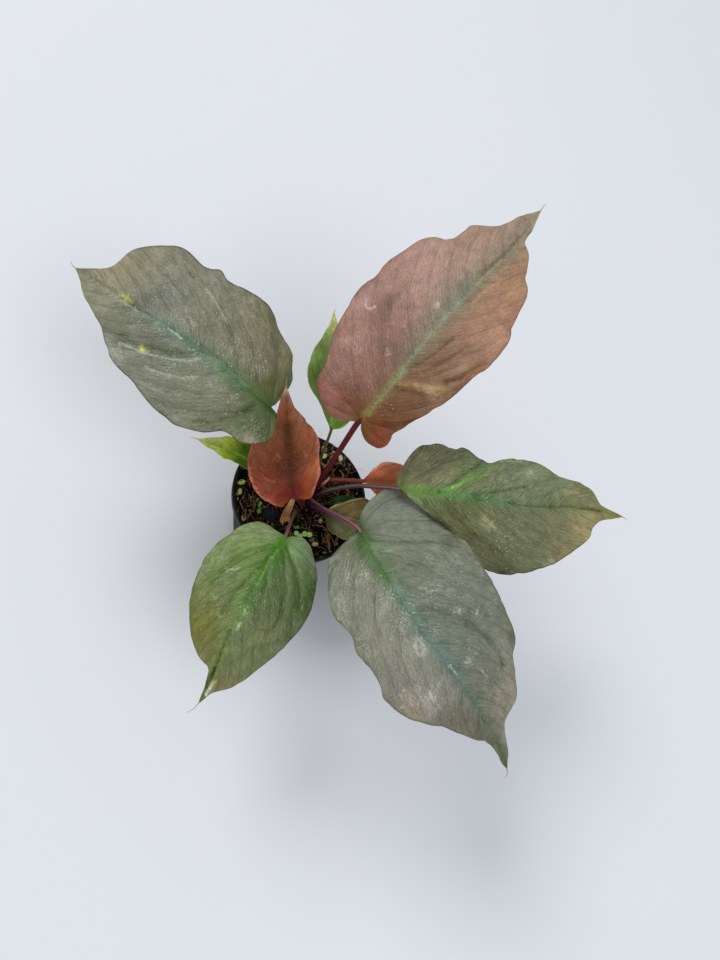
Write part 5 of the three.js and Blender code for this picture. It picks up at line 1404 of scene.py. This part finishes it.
def chip(heap, centre, size, turn, tilt, tone, random):
    """A flat broken chip of bark: a squashed block with uneven corners."""
    corners = np.array([[sx, sy, sz] for sz in (-1, 1) for sy in (-1, 1) for sx in (-1, 1)], float)
    corners = corners * np.asarray(size) * (0.75 + 0.5 * random.random((8, 3)))
    spin = np.array(Matrix.Rotation(turn, 3, "Z") @ Matrix.Rotation(tilt, 3, "X"))
    faces = [[0, 2, 3, 1], [4, 5, 7, 6], [0, 1, 5, 4], [1, 3, 7, 5], [3, 2, 6, 7], [2, 0, 4, 6]]
    heap.add(corners @ spin.T + centre, faces, tint=linear(tone))


def chip_size(random, long, broad, deep):
    return long, long * (broad + 0.35 * random.random()), deep + 0.25 * random.random()


def pick(random, tones):
    return tones[random.integers(len(tones))]


def scatter(random, reach):
    """A random place on the mix."""
    radius, angle = reach * math.sqrt(random.random()), 2 * math.pi * random.random()
    return radius * math.cos(angle), radius * math.sin(angle)


def bark_chips(random):
    """Chips and grit: small ones all over, piled up to the far right, and on the rim, then large ones."""
    bark = Heap()
    for _ in range(CHIP_COUNT):
        x, y = scatter(random, CHIP_FIELD)
        size = chip_size(random, 0.3 + 1.5 * random.random() ** 4, 0.25, 0.18)
        piled = 1.6 * smooth((0.8 * x + 0.6 * y - 24) / 8) * random.random()
        centre = on_mix(x, y, 0.15 + 0.5 * random.random() ** 3 + piled)
        turn, tilt = 6.3 * random.random(), random.normal() * 0.5
        # Chips are darker towards the left of the pot and lighter towards the right
        dry = 0.85 + 0.5 * smooth(0.5 + x / 50)
        chip(bark, centre, size, turn, tilt, [dry * part for part in pick(random, CHIP_TONES)], random)
    for _ in range(RIM_CHIP_COUNT):
        angle, out = 2 * math.pi * random.random(), random.random()
        radius, rise = between(RIM_STRIP, out), SOIL_LEVEL + between(RIM_STRIP_RISE, out)
        size = chip_size(random, 0.4 + 1.0 * random.random() ** 2, 0.3, 0.2)
        chip(bark, (radius * math.cos(angle), radius * math.sin(angle), rise), size,
             angle + math.pi / 2 + random.normal() * 0.5, random.normal() * 0.3,
             pick(random, CHIP_TONES), random)
    for x, y, size, degrees, tone in LARGE_CHIPS:
        chip(bark, on_mix(x, y, 0.5), size, math.radians(degrees), 0.15, tone, random)
    bark.piece("bark", tint_material("bark", 0.85, 0.0004, 900, 0.2), "mix")


def fibre_line(random):
    """A wandering line of four points on the mix, within the pot."""
    x, y = scatter(random, FIBRE_FIELD)
    heading, reach = 6.3 * random.random(), 2.5 + 8 * random.random() ** 1.5
    points = []
    for k in range(4):
        heading += random.normal() * 0.45
        points.append(on_mix(x, y, 0.3 + 1.5 * random.random() * (0 < k < 3)))
        x, y = x + reach / 3 * math.cos(heading), y + reach / 3 * math.sin(heading)
        shrink = min(1, FIBRE_LIMIT / max(1e-6, math.hypot(x, y)))
        x, y = x * shrink, y * shrink
    return points


def tan_fibres(random):
    """Short fibres all over the mix, and the longer strands."""
    fibres = Heap()
    for _ in range(FIBRE_COUNT):
        points = fibre_line(random)
        thin = 0.07 + 0.14 * random.random() ** 2
        fibres.add(*tube(points, tapered(14, thin, 0.4 * thin, 0), 6), tint=linear(pick(random, FIBRE_TONES)))
    for thick, tone, line in STRANDS:
        points = [on_mix(*point) for point in line]
        fibres.add(*tube(points, tapered(40, thick, 0.5 * thick, 0), 8), tint=linear(tone))
    fibres.piece("fibres", tint_material("fibre", 0.8, 0.0002, 1500, 0.2), "mix")


def litter():
    """Bark chips, grit and tan fibres that lie on the mix."""
    random = np.random.default_rng(7)
    bark_chips(random)
    tan_fibres(random)


# Pot

POT_SIDES = 144
SHARP_DEGREES = 40


def pot():
    """The pot's shell with a rounded rim and base, and its drain holes cut out."""
    foot = POT_HEIGHT - RIM_BAND_HEIGHT
    radius, height = np.transpose([
        [0.01, 0.0], [BASE_RADIUS - 1.6, 0.0], [BASE_RADIUS - 0.5, 0.3], [BASE_RADIUS, 1.4],
        [wall_radius(foot * 0.5), foot * 0.5], [wall_radius(foot) - 0.02, foot - 0.4],
        [RIM_RADIUS - 1.2, foot], [RIM_RADIUS - 0.6, foot + 0.5], [RIM_RADIUS - 0.4, foot + 1.4],
        [RIM_RADIUS - 0.05, POT_HEIGHT - 1.6], [RIM_RADIUS - 0.1, POT_HEIGHT - 0.7],
        [RIM_RADIUS - 0.6, POT_HEIGHT - 0.15], [RIM_RADIUS - 1.3, POT_HEIGHT],
        [RIM_RADIUS - 2.0, POT_HEIGHT - 0.3], [RIM_RADIUS - 2.3, POT_HEIGHT - 1.2],
        [WALL_TOP_RADIUS - WALL, foot], [BASE_RADIUS + 1 - WALL, FLOOR + 3],
        [BASE_RADIUS - 1 - WALL, FLOOR], [0.01, FLOOR],
    ])
    points = ring_points(radius, height, POT_SIDES).reshape(-1, 3)
    piece = make_piece("pot_shell", points, tube_faces(len(radius), POT_SIDES), pot_material(), ["pot"])
    drains = Heap()
    for k in range(DRAIN_COUNT):
        turn = 2 * math.pi * (k + 0.5) / DRAIN_COUNT
        x, y = DRAIN_RING * math.cos(turn), DRAIN_RING * math.sin(turn)
        drains.add(*tube([[x, y, -1], [x, y, FLOOR + 1]], tapered(2, DRAIN_RADIUS, 0), 32, (1, 0, 0)))
    cutter = add_object("drains", add_mesh("drains", np.concatenate(drains.points), drains.faces))
    cut = piece.modifiers.new("drains", "BOOLEAN")
    cut.object, cut.solver = cutter, "EXACT"
    graph = bpy.context.evaluated_depsgraph_get()
    piece.data = bpy.data.meshes.new_from_object(piece.evaluated_get(graph))
    piece.modifiers.clear()
    bpy.data.objects.remove(cutter)
    shade_smooth(piece.data)
    piece.data.set_sharp_from_angle(angle=math.radians(SHARP_DEGREES))


# Small growths

# x, y, radius, length to width, turn, colour
PRILLS = [
    (-33.8, 5.2, 1.6, 1.5, 20, (204, 224, 116)), (-34.6, -0.8, 1.4, 1.5, 80, (196, 198, 108)),
    (-31.8, -16, 1.5, 1.5, 70, (204, 198, 122)), (13.3, 31.2, 1.2, 1.3, 10, (164, 160, 88)),
    (14, 26.8, 1.6, 1.3, 30, (220, 216, 142)), (19.5, 29.2, 1.2, 1.3, 70, (158, 150, 92)),
    (23.4, 25.9, 1.6, 1.4, 80, (206, 206, 150)), (9.7, -27.4, 1.4, 1.4, 10, (206, 214, 132)),
    (13.2, -12.6, 1.4, 1.2, 60, (168, 164, 98)), (-20, 22, 1.2, 1.2, 0, (160, 170, 90)),
    (26, -18, 1.2, 1.2, 0, (176, 172, 104)), (-12, -30, 1.2, 1.2, 0, (168, 160, 92)),
    (8.6, 33.0, 1.2, 1.2, 0, (166, 158, 90)), (-23.6, -4.0, 1.1, 1.3, 70, (96, 150, 44)),
    (-23.0, -10.5, 1.3, 1.4, 80, (88, 146, 38)),
]
PRILL_SQUASH = 0.85
PRILL_RINGS = 14
PRILL_SIDES = 20


def ball(radius, squash, rings, sides):
    """A closed ball as a tube that swells and closes."""
    reach = lambda t: (radius * np.sqrt(np.clip(1 - (2 * t - 1) ** 2, 0.0004, 1)),) * 2
    half = radius * squash
    return tube([[0, 0, -half], [0, 0, 0], [0, 0, half]], Section(rings, reach), sides, (1, 0, 0))


def prills():
    """Slow-release prills and swollen seeds, half sunk in the mix."""
    heap = Heap()
    for x, y, radius, stretch, degrees, tone in PRILLS:
        points, faces = ball(radius, PRILL_SQUASH, PRILL_RINGS, PRILL_SIDES)
        turn = np.array(Matrix.Rotation(math.radians(degrees), 3, "Z"))
        heap.add((points * (stretch, 1, 1)) @ turn.T + on_mix(x, y, 0.55 * radius), faces, tint=linear(tone))
    heap.piece("prills", tint_material("prill", 0.3, 0.00015, 500, 0.55), "mix")


PALE_WEED = (192, 242, 134)
DEEP_WEED = (112, 168, 66)
# x, y, turn, height, and the radius and colour of the seed leaves
WEEDS = [(-0.4, -22.9, 330, 3.2, 1.5, PALE_WEED), (4.8, -22.1, -6, 3, 1.6, PALE_WEED),
         (-1.4, -18.4, 14, 2.6, 0.85, DEEP_WEED), (-23, -7.4, 250, 2.4, 0.9, DEEP_WEED)]
SEED_LEAF_RINGS = 8
SEED_LEAF_SIDES = 24
SEED_LEAF_THICKNESS = 0.25


def seed_leaf(top_at, turn, radius):
    """Points and faces of a round, slightly cupped leaf beside the top of its stem."""
    out = np.array([math.cos(turn), math.sin(turn), 0.25])
    side = np.array([-math.sin(turn), math.cos(turn), 0.0])
    share, angle = np.meshgrid(np.linspace(0.02, 1, SEED_LEAF_RINGS), around(SEED_LEAF_SIDES), indexing="ij")
    px = radius * (0.85 + share * np.cos(angle))
    py = radius * share * np.sin(angle)
    cup = 0.3 * share ** 2 - 0.12 * bell(py / 0.25)
    top = np.array(top_at) + px[..., None] * out + py[..., None] * side + cup[..., None] * UP
    points = np.concatenate([top.reshape(-1, 3), (top - SEED_LEAF_THICKNESS * UP).reshape(-1, 3)])
    at = ring_grid(SEED_LEAF_RINGS, SEED_LEAF_SIDES)
    faces = ring_faces(at, turned=True)
    edge, ahead = at[-1], np.roll(at[-1], -1)
    rim = np.stack([edge, edge + at.size, ahead + at.size, ahead], -1)
    close = [at[0].tolist(), (at[0, ::-1] + at.size).tolist()]
    return points, faces.tolist() + (faces[:, ::-1] + at.size).tolist() + rim.tolist() + close


def weed(number, x, y, degrees, height, radius, tone):
    """A thread stem with two round seed leaves."""
    heap = Heap()
    foot, bend, top = (on_mix(x, y, lift) for lift in (-1.5, height * 0.5, height))
    bend[0] += 0.2
    heap.add(*tube([foot, bend, top], tapered(10, 0.34, 0.1), 8), tint=linear((150, 176, 96)))
    for half_turn in (0, math.pi):
        leaf_points, faces = seed_leaf(on_mix(x, y, height - 0.3), math.radians(degrees) + half_turn, radius)
        heap.add(leaf_points, faces, tint=linear(tone))
    name = f"seedling_{number}"
    heap.piece(name, tint_material(name, 0.4, 0.0001, 900, 0.4), "weed", [f"weed_{number}"])


DRY_SHEATH_LINE = [[-7.2, -6, 83.4], [-7.6, -8.8, 80], [-8.8, -12.4, 75], [-9.6, -17, 70.2]]
DRY_SHEATH_WIDTHS = [1.1, 1.7, 2.3, 2.9]
DRY_SHEATH_TONES = [[0, (240, 202, 146)], [0.35, (186, 148, 92)], [0.7, (176, 130, 74)], [1, (214, 156, 92)]]
DRY_SHEATH_GRID = (70, 29)
DRY_SHEATH_THICKNESS = 0.3
TORN_START = 0.6


def dry_sheath():
    """The straw-coloured old sheath: a thin curled strip, torn into fibres at its lower end."""
    rows, columns = DRY_SHEATH_GRID
    path = smooth_line(DRY_SHEATH_LINE)
    widths = smooth_line([[i, w] for i, w in enumerate(DRY_SHEATH_WIDTHS)])[0][:, 1]
    t = np.linspace(0, 1, rows)[:, None]
    u = np.linspace(-1, 1, columns)[None, :]
    half = np.interp(t, np.linspace(0, 1, len(widths)), widths)
    torn = 2.6 * noise(u * 5, 0 * u, 21)
    reach = t * path[1][-1] + torn * smooth((t - TORN_START) / (1 - TORN_START))
    middle = along(path, reach)
    run = unit(along(path, reach + 1) - along(path, reach - 1))
    across = unit(np.cross(run, UP))
    rise = np.cross(across, run)
    crumple = (0.25 + 0.5 * t) * noise(u * 5 + 0 * t, t * 4, 22)
    top = middle + across * (half * u)[..., None] + rise * (0.8 * half * u ** 2 + crumple)[..., None]
    points = np.concatenate([top.reshape(-1, 3), (top - DRY_SHEATH_THICKNESS * rise).reshape(-1, 3)])
    streak = 1 + 0.45 * noise(u * 8 + 0.6 * noise(0 * u, t * 5, 24), t * 1.5, 23)
    colour = (gradient(DRY_SHEATH_TONES, t) * streak[..., None]).reshape(-1, 3)
    heap = Heap()
    heap.add(points, sheet_faces(rows, columns), tint=np.concatenate([colour, colour]))
    heap.piece("old_sheath", tint_material("old_sheath", 0.7, 0.0003, 1200, 0.3), "dry_sheath",
               ["dry_sheath"])


BUD_LINE = [[11.4, 7.8, 60], [11, 7, 70], [11.9, 6.3, 76], [13.1, 7.3, 82.5]]
BUD_TONES = [[0, (170, 84, 84)], [0.5, (216, 120, 118)], [0.8, (238, 184, 150)], [1, (248, 222, 180)]]
BUD_RINGS = 60
BUD_SIDES = 28
BUD_SQUASH = 0.8


def bud_sheath():
    """The pointed sheath of the next leaf."""
    def reach(t):
        wide = 0.3 + 1.2 * (1 - t) ** 0.8
        return wide, BUD_SQUASH * wide

    t = np.repeat(np.linspace(0, 1, BUD_RINGS), BUD_SIDES)
    heap = Heap()
    heap.add(*tube(BUD_LINE, Section(BUD_RINGS, reach, ridges=7, ridge=0.04), BUD_SIDES),
             tint=gradient(BUD_TONES, t))
    heap.piece("bud", tint_material("bud", 0.42, 0.0002, 900, 0.45), "bud_sheath", ["bud_sheath"])


THREAD_COUNT = 12
THREAD_TONE = (184, 154, 116)


def fine_roots():
    """Hair-like roots that reach over the rim."""
    random = np.random.default_rng(31)
    heap = Heap()
    for k in range(THREAD_COUNT):
        turn = math.radians(30 + 8.5 * k + 4 * random.normal())
        start, end = 30 + 3 * random.random(), 38.5 + 5.5 * random.random()
        points = []
        for share in np.linspace(0, 1, 5):
            radius = between((start, end), share)
            angle = turn + 0.05 * random.normal()
            point = on_mix(radius * math.cos(angle), radius * math.sin(angle), 0.5)
            if radius >= 35:
                point[2] = POT_HEIGHT + 0.6 + 2.5 * random.random()
            points.append(point)
        heap.add(*tube(points, tapered(24, 0.13, 0.07), 6), tint=linear(THREAD_TONE))
    heap.piece("fine_roots", tint_material("fine_root", 0.7, 0.0001, 1500, 0.3), "stem")


# Stage

FLOOR_REACH = 3000


def floor():
    """A large pale floor that the pot stands on."""
    corners = [(x * FLOOR_REACH, y * FLOOR_REACH, 0) for x, y in ((-1, -1), (1, -1), (1, 1), (-1, 1))]
    ground = add_object("floor", add_mesh("floor", corners, [range(4)]))
    s = Shader("floor")
    colour = s.mix(s.noise(s.place(), 3.0), rgba((226, 231, 237)), rgba((230, 234, 240)))
    ground.data.materials.append(s.finish(colour, 0.85, 0.2))


# name, place and aim in metres, width, power, colour
LIGHTS = [("key", (-1.6, 2.0, 2.7), (0, 0, 0.1), 1.7, 62, (1.0, 0.985, 0.96)),
          ("fill", (0.5, -1.3, 2.8), (0, 0, 0.1), 2.0, 33, (0.98, 0.99, 1.0))]
SKY = (238, 239, 242)
SKY_STRENGTH = 0.45


def area_light(name, place, aim, size, power, tone):
    light = bpy.data.lights.new(name, "AREA")
    light.shape = "DISK"
    light.size, light.energy, light.color = size, power, tone
    lamp = add_object(name, light)
    lamp.location = place
    lamp.rotation_euler = (Vector(aim) - Vector(place)).to_track_quat("-Z", "Y").to_euler()


def lights():
    """Two broad lamps and an even sky."""
    world = bpy.data.worlds.new("studio")
    bpy.context.scene.world = world
    world.use_nodes = True
    background = world.node_tree.nodes["Background"]
    background.inputs["Color"].default_value = rgba(SKY)
    background.inputs["Strength"].default_value = SKY_STRENGTH
    for lamp in LIGHTS:
        area_light(*lamp)


# The photo's camera: 780 pixels of focal length in a picture 960 pixels high
FOCAL_PIXELS = 780
PICTURE_HEIGHT = 960
SENSOR = 36.0
CAMERA_PLACE = (-92.2, -148.7, 480.1)
CAMERA_RIGHT = (0.955, 0.0, 0.297)
CAMERA_BACK = (-0.278, -0.353, 0.894)
CLIP = (0.01, 20)


def camera():
    data = bpy.data.cameras.new("camera")
    data.sensor_width = SENSOR
    data.lens = SENSOR * FOCAL_PIXELS / PICTURE_HEIGHT
    data.clip_start, data.clip_end = CLIP
    eye = add_object("camera", data)
    back = Vector(CAMERA_BACK).normalized()
    right = Vector(CAMERA_RIGHT)
    right = (right - back * right.dot(back)).normalized()
    turn = Matrix((right, back.cross(right), back)).transposed()
    eye.matrix_world = Matrix.Translation(Vector(CAMERA_PLACE) * MM) @ turn.to_4x4()
    bpy.context.scene.camera = eye


def carried_over():
    """Finish of the short stem and its roots, which stay as the solid has them."""
    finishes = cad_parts["stem_and_roots"].data.materials
    finishes.clear()
    finishes.append(plain_noise_material("stem_skin", (52, 30, 34), (96, 62, 56), 300, 0.6, 0.0005))


camera()
lights()
floor()
for leaf_letter in LEAVES:
    blade(leaf_letter)
    stalk(leaf_letter)
soil()
litter()
prills()
for weed_number, weed_form in enumerate(WEEDS, 1):
    weed(weed_number, *weed_form)
dry_sheath()
bud_sheath()
fine_roots()
pot()
carried_over()
bpy.context.scene.view_settings.view_transform = "Standard"
